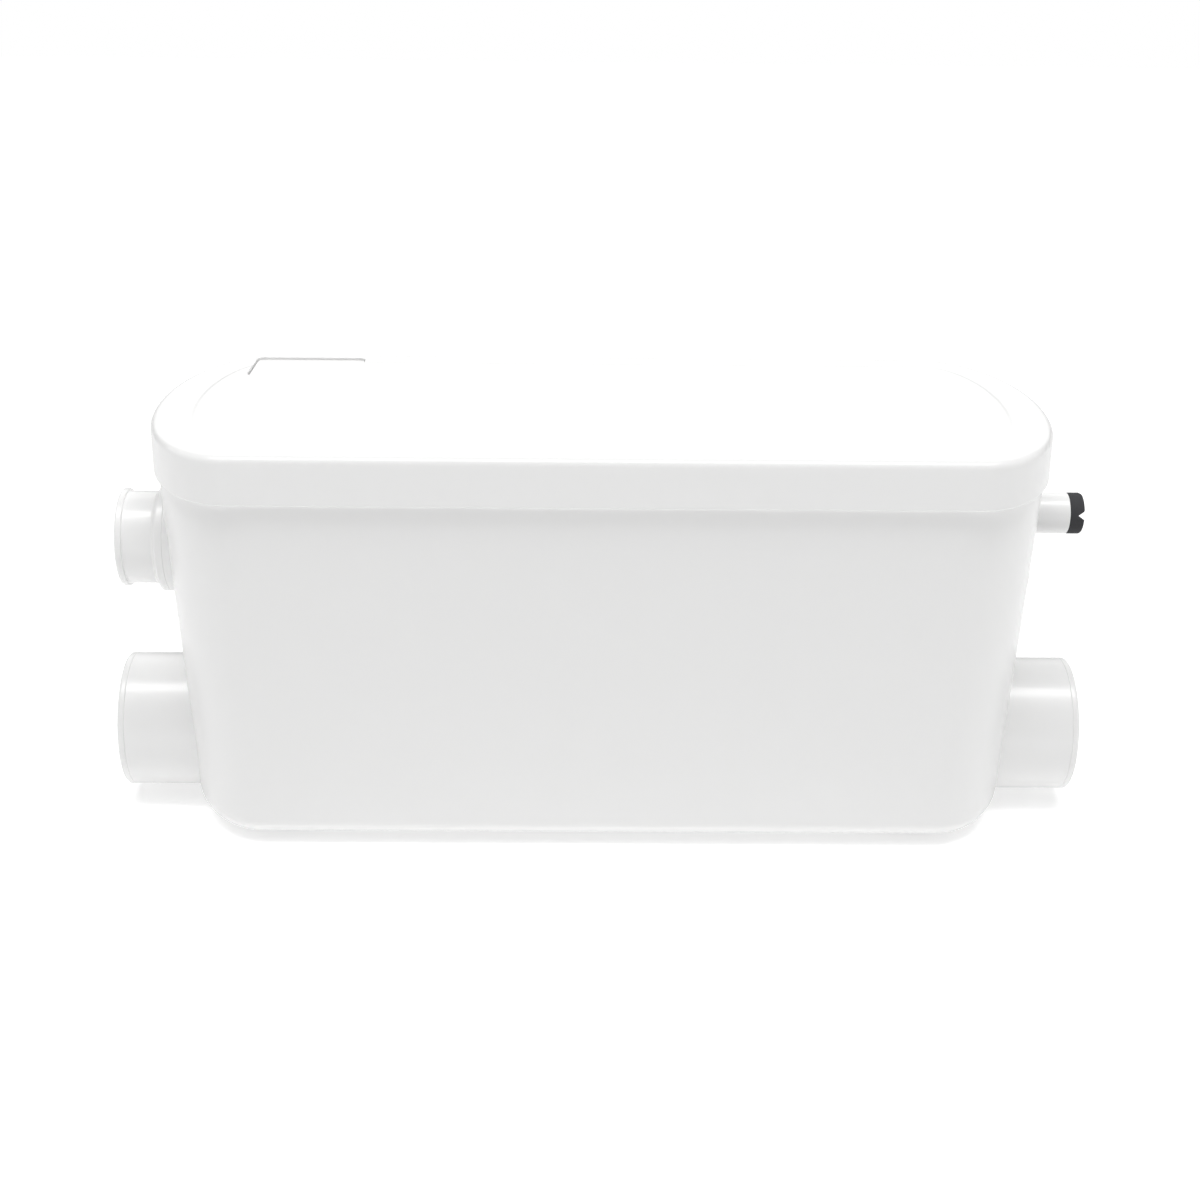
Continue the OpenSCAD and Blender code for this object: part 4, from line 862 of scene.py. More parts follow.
@dataclass
class PortPlaces:
    """Where the ports pass through the tank's ends, in millimetres from its middle."""

    shape: BoxShape
    inlet_y: float = -12.6
    inlet_z: float = 28.5
    upper_z: float = 98.3
    gland_y: float = 35.0
    gland_z: float = 99.0
    socket_r: float = 25.5
    pipe_r: float = 20.3
    stop_r: float = 18.0
    groove_r: float = 22.2
    stop_inset: float = 5.8
    stop_width: float = 4.0
    socket_end: float = 178.9
    groove_start: float = 167.9
    ring_r: float = 20.5
    neck_r: float = 17.6
    plug_r: float = 17.0
    plug_flange_r: float = 22.2
    plug_sink: float = 3.1
    face_rise: float = 2.7
    back_sink: float = 6.8
    collar_rise: float = 0.1
    gland_sink: float = 11.9
    play: float = 0.05

    @property
    def stop_x(self) -> float:
        """Where the pipe's stop is."""
        return self.shape.wall_x(self.inlet_z) - self.stop_inset

    @property
    def face_x(self) -> float:
        """Where the flat face of the discharge port is."""
        return self.shape.wall_x(self.upper_z) + self.face_rise

    @property
    def plug_seat_x(self) -> float:
        """Where the sunk seat of the plug's flange is."""
        return self.shape.wall_x(self.upper_z) - self.plug_sink

    @property
    def back_x(self) -> float:
        """Where the back of each upper port is."""
        return self.shape.wall_x(self.upper_z) - self.back_sink

    @property
    def gland_face_x(self) -> float:
        """Where the face of the gland's collar is."""
        return self.shape.wall_x(self.gland_z) + self.collar_rise

    @property
    def gland_back_x(self) -> float:
        """Where the gland's boss ends inside the tank."""
        return self.shape.wall_x(self.gland_z) - self.gland_sink

    def at_inlet(self, form: Form, side: Side) -> Form:
        """A form laid on the axis of one low socket."""
        return form.along_x(side, self.inlet_y, self.inlet_z)

    def at_upper(self, form: Form, side: Side) -> Form:
        """A form laid on the axis of one upper port."""
        return form.along_x(side, 0.0, self.upper_z)

    def at_gland(self, form: Form) -> Form:
        """A form laid on the gland's axis."""
        return form.along_x(Side.RIGHT, self.gland_y, self.gland_z)


@dataclass
class TankShell:
    """The white tank with its rim, posts, sockets and port rings, its rubber feet and its seal."""

    bench: Bench
    shape: BoxShape
    ports: PortPlaces
    base_fillet: float = 8.0
    fillet_steps: int = 9
    wall_levels: int = 22
    top_edge: float = 0.5
    rim_root: float = 4.0
    rim_slope: float = 1.2
    crown: float = 0.9
    bite: float = 1.5
    boss_r: float = 26.0
    gland_boss_r: float = 13.0
    gland_boss_l: float = 3.0
    collar_r: float = 10.25
    gland_hole_r: float = 8.3
    plug_gap: float = 0.3
    post_hole_r: float = 2.05
    post_hole_l: float = 14.0
    foot_place: Pair = (118, 40)
    foot_r: float = 8.0
    foot_sink: float = 1.0
    sole_r: float = 5.0
    sole_depth: float = 0.8
    over: float = 1.0

    def build(self) -> None:
        """Makes the tank, its feet and its seal."""
        additions = self._sockets() + self._upper_ports() + self._posts()
        tank = self._shell().fused(additions, self._gland_collar())
        tank = tank.cut(self._bores() + self._foot_recesses())
        self.bench.fit("tank_shell", tank, "tank")
        self._feet()
        self._seal()

    def _shell(self) -> Form:
        """The open tank in one skin, from its underside over the rim to its inside floor."""
        shape, fillet = self.shape, self.base_fillet - self.shape.wall
        top, root = shape.tank_top, shape.tank_top - self.rim_root
        rim = eased([
            (0.0, top - self.top_edge), (0.0, top, self.top_edge), (shape.rim_inset, top, 0.3),
            (shape.rim_inset, shape.rim_top, 0.4), (shape.rim_inner, shape.rim_top, 0.4),
            (shape.rim_inner, root, 0.3), (shape.wall, root - self.rim_slope)], closed=False)
        rings = self._low_edge(shape.foot, self.base_fillet, 0.0)
        rings += self._wall(0.0, shape.foot + self.base_fillet, top - self.top_edge, self.wall_levels)
        rings += [shape.tank_ring(inset, z, cut_at=min(z, top)) for inset, z in rim[1:]]
        rings += self._wall(shape.wall, root - self.rim_slope, shape.floor + fillet, self.wall_levels - 1)
        rings += reversed(self._low_edge(shape.floor, fillet, shape.wall))
        return loft(rings)

    def _wall(self, inset: float, start: float, end: float, count: int) -> list[list[Spot]]:
        """The first rings of the wall on the way from one height to another."""
        steps = [(end - start) * i / self.wall_levels for i in range(1, count + 1)]
        return [self.shape.tank_ring(inset, start + step) for step in steps]

    def _low_edge(self, z: float, radius: float, inset: float) -> list[list[Spot]]:
        """Rings of a rounded bottom edge, from the flat underside upwards."""
        rings = []
        for i in range(self.fillet_steps + 1):
            angle = math.pi / 2 * i / self.fillet_steps
            height = z + radius * (1 - math.cos(angle))
            rings.append(self.shape.tank_ring(inset + radius * (1 - math.sin(angle)), height))
        return rings

    def _sockets(self) -> Form:
        """The two low sockets, still without their bores."""
        ports = self.ports
        low, high = ports.stop_x - ports.stop_width, ports.socket_end
        corners = [(low, 0.0), (low, ports.socket_r), (high, ports.socket_r, 0.3), (high, 0.0)]
        solid = lathed(corners, Facets.FINE)
        return joined(ports.at_inlet(solid, side) for side in Side)

    def _upper_ports(self) -> Form:
        """The discharge port's ring and the bosses behind both upper ports."""
        ports, end = self.ports, self.shape.wall_x(self.ports.upper_z) - self.bite
        corners = [(ports.back_x, 0.0), (ports.back_x, self.boss_r, 0.6), (end, self.boss_r)]
        ring = [(end, ports.ring_r), (ports.face_x, ports.ring_r, 0.3), (ports.face_x, 0.0)]
        left = ports.at_upper(lathed([*corners, *ring]), Side.LEFT)
        return left + ports.at_upper(lathed([*corners, (end, 0.0)]), Side.RIGHT)

    def _gland_collar(self) -> Form:
        """The collar that the gland sits in, and the boss behind it."""
        back, face = self.ports.gland_back_x, self.ports.gland_face_x
        front = back + self.gland_boss_l
        return self.ports.at_gland(lathed([
            (back, 0.0), (back, self.gland_boss_r, 0.5), (front, self.gland_boss_r, 0.5),
            (front, self.collar_r), (face, self.collar_r, 0.2), (face, 0.0)]))

    def _posts(self) -> Form:
        """The four posts that carry the mounting plate, each with its screw hole."""
        shape = self.shape
        profile = eased([
            (shape.floor - self.bite, shape.post_r), (shape.post_top, shape.post_r, 0.4),
            (shape.post_top, self.post_hole_r), (shape.post_top - self.post_hole_l, self.post_hole_r)],
            closed=False)
        return in_quarters(turned(profile, steps=Facets.ROD), shape.post_place)

    def _bores(self) -> Form:
        """The stepped inlet bores and the upper ports' holes, as one tool."""
        ports, over = self.ports, self.over
        low = ports.stop_x - ports.stop_width - over
        stepped = turned([
            (low, ports.stop_r), (ports.stop_x, ports.stop_r), (ports.stop_x, ports.pipe_r),
            (ports.groove_start, ports.pipe_r), (ports.groove_start, ports.groove_r),
            (ports.socket_end + over, ports.groove_r)], steps=Facets.FINE)
        start, seat, end = ports.back_x - over, ports.plug_seat_x, ports.face_x + over
        spigot_hole = rod(ports.neck_r + ports.play, start, end, steps=Facets.WIDE)
        stem_r, flange_r = ports.plug_r + self.plug_gap, ports.plug_flange_r + self.plug_gap
        plug_hole = turned([(start, stem_r), (seat, stem_r), (seat, flange_r), (end, flange_r)])
        gland_hole = rod(self.gland_hole_r, ports.gland_back_x - over, ports.gland_face_x + over)
        bores = joined(ports.at_inlet(stepped, side) for side in Side)
        bores += ports.at_upper(spigot_hole, Side.LEFT) + ports.at_upper(plug_hole, Side.RIGHT)
        return bores + ports.at_gland(gland_hole)

    def _foot_recesses(self) -> Form:
        """The shallow round seats of the feet, as one tool."""
        low, high = self.shape.foot - self.over, self.shape.foot + self.foot_sink
        return in_quarters(rod(self.foot_r + self.ports.play, low, high), self.foot_place)

    def _feet(self) -> None:
        """Four rubber feet with a hollow in their soles."""
        top, step = self.shape.foot + self.foot_sink, 0.6
        foot = lathed([
            (self.sole_depth, 0.0), (self.sole_depth, self.sole_r - 1, 0.5), (0.0, self.sole_r, 0.4),
            (0.0, self.foot_r - step, 0.5), (2 * step, self.foot_r, 0.5), (top, self.foot_r, 0.3),
            (top, 0.0)], Facets.FOOT)
        self.bench.fit("foot_pads", in_quarters(foot, self.foot_place), "rubber_feet")

    def _seal(self) -> None:
        """The soft seal on the rim, with a rounded crown."""
        shape = self.shape
        section = eased([
            (shape.rim_inset, shape.rim_top, 0.2), (shape.rim_inset, shape.seal_top, self.crown),
            (shape.rim_inner, shape.seal_top, self.crown), (shape.rim_inner, shape.rim_top, 0.2)])
        rings = [shape.tank_ring(inset, z, cut_at=shape.tank_top) for inset, z in section]
        self.bench.fit("rim_seal", loft(rings, looped=True), "tank_seal")


@dataclass
class LidShell:
    """The lid with its raised panel and filter tray, the filter cover and the carbon cartridge."""

    bench: Bench
    shape: BoxShape
    top_fillet: float = 3.0
    panel_inset: float = 14.5
    panel_slope: float = 2.0
    filter_x: float = -116.5
    filter_y: float = 50.5
    filter_w: float = 43.0
    filter_d: float = 30.0
    seat_depth: float = 2.2
    cover_sink: float = 0.7
    cover_corner: float = 3.0
    collar_wall: float = 1.5
    tray_w: float = 32.0
    tray_d: float = 21.0
    tray_back: float = 2.25
    tray_wall: float = 1.5
    tray_h: float = 11.0
    tray_bars: int = 5
    bar_w: float = 2.0
    gap: float = 0.3
    over: float = 1.0
    panel_steps: int = 6
    fillet_steps: int = 10
    skirt_steps: int = 6

    @property
    def tray_y(self) -> float:
        """Middle of the tray, from the middle of the box."""
        return self.filter_y - self.tray_back

    @property
    def tray_floor(self) -> float:
        """Height of the tray's inside floor."""
        return self.shape.ceiling - self.tray_h

    def build(self) -> None:
        """Makes the lid, the filter cover and the cartridge."""
        lid = self._shell().fused(self._seal_rib(), self._tray()).cut(*self._openings())
        self.bench.fit("lid_shell", lid, "lid")
        self._filter_cover()
        self._cartridge()

    def _shell(self) -> Form:
        """The lid in one skin, from its raised panel over the skirt to its underside."""
        shape, fillet = self.shape, self.top_fillet
        rings = []
        for i in range(self.panel_steps + 1):
            share = i / self.panel_steps
            rise = shape.panel_top + (shape.edge_top - shape.panel_top) * (1 - math.cos(math.pi * share)) / 2
            rings.append(shape.lid_ring(self.panel_inset + self.panel_slope * (1 - share), rise))
        for i in range(self.fillet_steps + 1):
            angle = math.pi / 2 * i / self.fillet_steps
            height = shape.edge_top - fillet * (1 - math.cos(angle))
            rings.append(shape.lid_ring(fillet * (1 - math.sin(angle)), height))
        start, hem_r, inner_r = shape.edge_top - fillet, 0.5, 1.5
        for i in range(1, self.skirt_steps):
            height = start + (shape.skirt_low + hem_r - start) * i / self.skirt_steps
            rings.append(shape.lid_ring(0.0, height))
        hem = eased([
            (0.0, shape.skirt_low + 4 * hem_r), (0.0, shape.skirt_low, hem_r),
            (shape.wall, shape.skirt_low, 0.4), (shape.wall, shape.ceiling, inner_r),
            (shape.wall + 2 * inner_r, shape.ceiling)], closed=False, steps=5)
        rings += [shape.lid_ring(inset, z) for inset, z in hem[1:]]
        return loft(rings)

    def _seal_rib(self) -> Form:
        """The rib inside the lid that presses on the seal."""
        shape = self.shape
        low, high = shape.seal_top + self.gap, shape.ceiling + shape.wall / 2
        outer, inner = shape.rim_inset, shape.rim_inner
        section = eased([(outer, low, 0.5), (outer, high), (inner, high), (inner, low, 0.5)])
        return loft([shape.tank_ring(inset, z, cut_at=shape.tank_top) for inset, z in section], looped=True)

    def _tray(self) -> Form:
        """The filter tray, still without its well."""
        wall = 2 * self.tray_wall
        form = slab(self.tray_w + wall, self.tray_d + wall, self.tray_h + wall, self.tray_wall, 0.4)
        return form.moved(self.filter_x, self.tray_y, self.tray_floor - self.tray_wall)

    def _openings(self) -> tuple[Form, ...]:
        """The cover's seat, the tray's well and the slots between its bars."""
        seat = slab(self.filter_w + 2 * self.gap, self.filter_d + 2 * self.gap, 5.0, self.cover_corner, 0.0)
        seat = seat.moved(self.filter_x, self.filter_y, self.shape.edge_top - self.seat_depth)
        well = slab(self.tray_w, self.tray_d, 20.0, self.tray_wall / 2, 0.0)
        well = well.moved(self.filter_x, self.tray_y, self.tray_floor)
        pitch, slot_h, slot_corner = self.tray_w / self.tray_bars, 4.0, 1.0
        slot = slab(pitch - self.bar_w, self.tray_d - self.bar_w, slot_h, slot_corner, 0.0)
        first = self.filter_x - self.tray_w / 2 + pitch / 2
        slot = slot.moved(first, self.tray_y, self.tray_floor - slot_h + 1)
        return seat, well, joined(slot.moved(i * pitch) for i in range(self.tray_bars))

    def _filter_cover(self) -> None:
        """The small cover that lies in the lid's seat, with its collar below."""
        low, bite = self.shape.edge_top - self.seat_depth, 0.6
        plate = slab(self.filter_w, self.filter_d, self.seat_depth - self.cover_sink, self.cover_corner, 0.45)
        width, depth = self.tray_w - 2 * self.gap, self.tray_d - 2 * self.gap
        collar = slab(width, depth, low + bite - self.shape.ceiling, self.tray_wall / 2, 0.0)
        width, depth = width - 2 * self.collar_wall, depth - 2 * self.collar_wall
        hollow = slab(width, depth, low + self.over - self.shape.ceiling, 0.5, 0.0).moved(z=-self.over)
        ring = collar.cut(hollow).moved(self.filter_x, self.tray_y, self.shape.ceiling)
        cover = plate.moved(self.filter_x, self.filter_y, low).fused(ring)
        self.bench.fit("filter_cover_plate", cover, "filter_cover")

    def _cartridge(self) -> None:
        """The block of carbon foam under the cover."""
        height = self.tray_h - self.tray_wall
        foam = slab(self.tray_w - 2 * self.gap, self.tray_d - 2 * self.gap, height, self.tray_wall / 2, 0.5)
        foam = foam.moved(self.filter_x, self.tray_y, self.shape.ceiling - height)
        self.bench.fit("carbon_cartridge", foam, "carbon_filter")


@dataclass
class InletPort:
    """What closes and guards one low socket: end ring, seal, valve seat, flap and pin."""

    bench: Bench
    ports: PortPlaces
    side: Side
    reach: float = 181.4
    sleeve: float = 6.0
    edge: float = 1.6
    seal_w: float = 5.0
    lip_place: float = 1.2
    back_lip_place: float = 1.6
    lip_height: float = 0.8

    @property
    def word(self) -> str:
        """The side in a node's name."""
        return self.side.name.lower()

    def build(self) -> None:
        """Makes the port's pieces."""
        self._end_ring()
        self._seal()
        self.bench.soften(f"valve_seat_{self.word}", f"inlet_seat_{self.word}", 0.4)
        self.bench.soften(f"valve_flap_{self.word}", f"inlet_flap_{self.word}", 0.35)
        self.bench.soften(f"hinge_pin_{self.word}", f"flap_pin_{self.word}", 0.2)

    def _end_ring(self) -> None:
        """The white ring with its rounded rim and the sleeve that holds the seal."""
        ports = self.ports
        base, bore, outer = ports.socket_end, ports.pipe_r + ports.play, ports.groove_r - ports.play
        ring = lathed_ring([
            (base - self.sleeve, bore, 0.2), (base - self.sleeve, outer, 0.3), (base, outer),
            (base, ports.socket_r, 0.3), (self.reach, ports.socket_r, self.edge), (self.reach, bore, 0.8)],
            Facets.FINE, arc=7)
        self.bench.fit(f"socket_ring_{self.word}", ports.at_inlet(ring, self.side), f"end_ring_{self.word}")

    def _seal(self) -> None:
        """The rubber ring with two lips behind the end ring."""
        ports = self.ports
        low, high = ports.groove_start, ports.groove_start + self.seal_w
        bore, outer = ports.pipe_r + ports.play, ports.groove_r - ports.play
        valley, lip = high - self.lip_place - 1, 0.3
        ring = lathed_ring([
            (low, bore + 3 * lip, lip), (low, outer, 0.4), (high, outer, 0.4), (high, bore + lip, lip),
            (high - self.lip_place, bore, lip), (valley, bore + self.lip_height, lip),
            (low + self.back_lip_place, bore, lip)])
        self.bench.fit(f"pipe_seal_{self.word}", ports.at_inlet(ring, self.side), f"inlet_seal_{self.word}")


@dataclass
class Discharge:
    """The spigot with its nut, the check valve, and the hose with its worm-drive clamps."""

    bench: Bench
    ports: PortPlaces
    spigot_reach: float = 181.6
    spigot_tail: float = 12.3
    lip_r: float = 18.6
    lip_w: float = 2.5
    outlet_r: float = 14.2
    flat: float = 2.2
    flare: float = 2.7
    flare_steps: int = 12
    nut_r: float = 23.0
    nut_h: float = 4.4
    nut_sides: int = 8
    riser_x: float = 78.0
    hose_low: float = 57.0
    bend: float = 24.0
    bend_steps: int = 16
    hose_r: float = 14.0
    hose_bore_r: float = 11.0
    hose_edge: float = 0.8
    valve_in: float = 118.4
    clamp_w: float = 8.0
    clamp_inset: float = 1.5
    band_t: float = 1.0
    teeth: int = 9
    tooth_size: Spot = (0.9, 1.4, 4.6)
    tooth_tilt: float = 18.0
    tooth_start: float = -28.0
    tooth_pitch: float = 6.5
    tooth_low: float = 1.9
    house_size: Spot = (7.0, 3.9, 7.4)
    worm_r: float = 1.9
    worm_ends: Pair = (-4.6, 3.6)
    worm_slot: Spot = (1.4, 4.4, 0.7)
    gap: float = 0.3

    def build(self) -> None:
        """Makes the discharge side's pieces."""
        self._spigot()
        nut = hex_nut(self.nut_sides, self.nut_r, self.nut_h, self.ports.neck_r + self.ports.play)
        nut = nut.moved(z=self.ports.back_x - self.nut_h - 0.2)
        self.bench.fit("spigot_lock_nut", self.ports.at_upper(nut, Side.LEFT), "spigot_nut")
        self.bench.soften("valve_body", "check_valve_body", 0.4)
        self.bench.soften("valve_disc", "check_valve_flap", 0.3)
        self._hose()
        self._clamps()

    def _spigot(self) -> None:
        """The lipped stub whose base flares into the port's ring."""
        ports = self.ports
        face, neck, tail = ports.face_x, ports.neck_r, ports.back_x - self.spigot_tail
        corners: list[Corner] = [
            (tail, self.outlet_r, 0.3), (tail, neck, 0.4), (face, neck), (face, ports.ring_r, 0.25)]
        for i in range(self.flare_steps + 1):
            share = i / self.flare_steps
            radius = neck + (ports.ring_r - neck) * (1 + math.cos(math.pi * share)) / 2
            corners.append((face + self.flat + self.flare * share, radius))
        start = self.spigot_reach - self.lip_w
        corners += [
            (start, neck, 0.25), (start, self.lip_r, 0.7), (self.spigot_reach, self.lip_r, 0.8),
            (self.spigot_reach, self.outlet_r, 0.7)]
        stub = lathed_ring(corners, Facets.FINE, arc=5)
        self.bench.fit("discharge_stub", ports.at_upper(stub, Side.LEFT), "discharge_spigot")

    def _path(self) -> list[tuple[Vector, Vector]]:
        """The hose's middle line: up from the riser, round the bend and out to the valve."""
        high, end = self.ports.upper_z, self.valve_in - self.gap
        path = [(Vector((-self.riser_x, 0, z)), Vector((0, 0, 1)))
                for z in (self.hose_low, self.hose_low + self.hose_edge, high - self.bend - 1)]
        for i in range(self.bend_steps + 1):
            angle = math.pi / 2 * i / self.bend_steps
            x = -self.riser_x - self.bend + self.bend * math.cos(angle)
            z = high - self.bend + self.bend * math.sin(angle)
            path.append((Vector((x, 0, z)), Vector((-math.sin(angle), 0, math.cos(angle)))))
        path += [(Vector((-x, 0, high)), Vector((-1, 0, 0))) for x in (end - self.hose_edge, end)]
        return path

    def _hose(self) -> None:
        """The bent rubber hose, with its ends eased."""
        path, drawn_in = self._path(), 0.6
        outer = tube_along(path, self.hose_r)
        for k in (0, -1):
            outer[k] = tube_along([path[k]], self.hose_r - drawn_in)[0]
        inner = tube_along(list(reversed(path)), self.hose_bore_r)
        self.bench.fit("outlet_hose", loft([*outer, *inner], looped=True), "discharge_hose")

    def _clamp(self) -> tuple[Form, Form]:
        """One clamp about the Z axis: the band with its worm housing, and the worm's screw."""
        width, inner, outer = self.clamp_w, self.hose_r + self.ports.play, self.hose_r + self.band_t
        waist, edge = outer - 0.25, 1.0
        band = lathed_ring([
            (0.0, inner, 0.2), (0.0, outer, 0.4), (edge, waist, 0.3), (width - edge, waist, 0.3),
            (width, outer, 0.4), (width, inner, 0.2)])
        tooth = block(*self.tooth_size).spun(self.tooth_tilt, "X").moved(y=outer + 0.1, z=self.tooth_low)
        for i in range(self.teeth):
            band = band.cut(tooth.spun(self.tooth_start - self.tooth_pitch * i))
        axis_y = outer + self.worm_r
        house = slab(*self.house_size, 1.2, 0.5).moved(y=axis_y, z=self.gap)
        worm = rod(self.worm_r, *self.worm_ends, 0.3, steps=Facets.SLIM).spun(90, "Y")
        worm = worm.moved(y=axis_y, z=width / 2)
        slot = block(*self.worm_slot).moved(x=-4.4, y=axis_y, z=(width - self.worm_slot[2]) / 2)
        return band.fused(house), worm.cut(slot)

    def _clamps(self) -> None:
        """A clamp at each end of the hose."""
        upright = Matrix.Translation((-self.riser_x, 0, self.hose_low + self.clamp_inset))
        laid = Matrix.Translation((-self.valve_in + self.gap + self.clamp_inset, 0, self.ports.upper_z))
        laid = laid @ Matrix.Rotation(math.pi / 2, 4, "Y")
        for name, form in zip(("clamp_bands", "clamp_worms"), self._clamp()):
            self.bench.fit(name, form.placed(upright) + form.placed(laid), "hose_clamps")


@dataclass
class SparePort:
    """The black plug in the spare upper inlet."""

    bench: Bench
    ports: PortPlaces
    flange_t: float = 2.8
    stem: float = 12.0
    bead: float = 1.5
    wall: float = 3.0

    def build(self) -> None:
        """Makes the plug: a domed-edge flange over a hollow stem with a bead."""
        face, stem_r, flange_r = self.ports.plug_seat_x, self.ports.plug_r, self.ports.plug_flange_r
        back, front, bore = face - self.stem, face + self.flange_t, stem_r - self.wall
        plug = lathed([
            (front - self.wall, 0.0), (front - self.wall, bore, 0.8), (back, bore, 0.4),
            (back, stem_r - 1, 0.5),
            (back + self.bead, stem_r, 0.6), (face, stem_r), (face, flange_r, 0.5), (front, flange_r, 1.2),
            (front, 0.0)], Facets.FINE, arc=6)
        self.bench.fit("spare_inlet_plug", self.ports.at_upper(plug, Side.RIGHT), "blanking_plug")


@dataclass
class CableGland:
    """The white gland tube, its black bush with a notched end, and its nut."""

    bench: Bench
    ports: PortPlaces
    reach: float = 192.8
    tail: float = 7.0
    tube_r: float = 8.25
    bore_r: float = 5.2
    ring_w: float = 2.0
    nut_r: float = 12.0
    nut_h: float = 5.0
    nut_sides: int = 6
    bush_l: float = 5.8
    bush_tail: float = 9.0
    bush_bore_r: float = 3.7
    bush_crease: float = 26.0
    notch_w: float = 3.8
    notch_l: float = 2.7
    notch_turn: float = 10.5
    over: float = 1.0

    def build(self) -> None:
        """Makes the gland's pieces."""
        ports, tube_r = self.ports, self.tube_r
        face, back, end = ports.gland_face_x, ports.gland_back_x, self.reach - self.bush_l
        tube = lathed_ring([
            (back - self.tail, self.bore_r, 0.3), (back - self.tail, tube_r, 0.5), (face, tube_r),
            (face, tube_r + self.ring_w, 0.2), (face + self.ring_w, tube_r, 0.8), (end, tube_r, 0.3),
            (end, self.bore_r)])
        self.bench.fit("gland_tube", ports.at_gland(tube), "gland_body")
        nut = hex_nut(self.nut_sides, self.nut_r, self.nut_h, tube_r + ports.play)
        nut = nut.moved(z=back - self.nut_h - 0.2)
        self.bench.fit("gland_lock_nut", ports.at_gland(nut), "gland_nut")
        self._bush(end)

    def _bush(self, start: float) -> None:
        """The soft bush, with four notches round its rounded end."""
        low, outer, end = start - self.bush_tail, self.bore_r - self.ports.play, self.reach + self.over
        bush = lathed_ring([
            (low, self.bush_bore_r, 0.4), (low, outer, 0.4), (start, outer), (start, self.tube_r, 0.3),
            (self.reach, self.tube_r, 1.1), (self.reach, self.bush_bore_r, 0.7)], arc=6)
        half = self.notch_w * (self.notch_l + self.over) / self.notch_l / 2
        wedge = [(self.reach - self.notch_l, 0.0), (end, half), (end, -half)]
        span = self.tube_r + self.over
        notch = loft([[(u, y, z) for z, u in wedge] for y in (-span, span)]).spun(self.notch_turn)
        bush = self.ports.at_gland(bush.cut(notch, notch.spun(90)))
        self.bench.fit("gland_bush_end", bush, "gland_bush", crease=self.bush_crease)


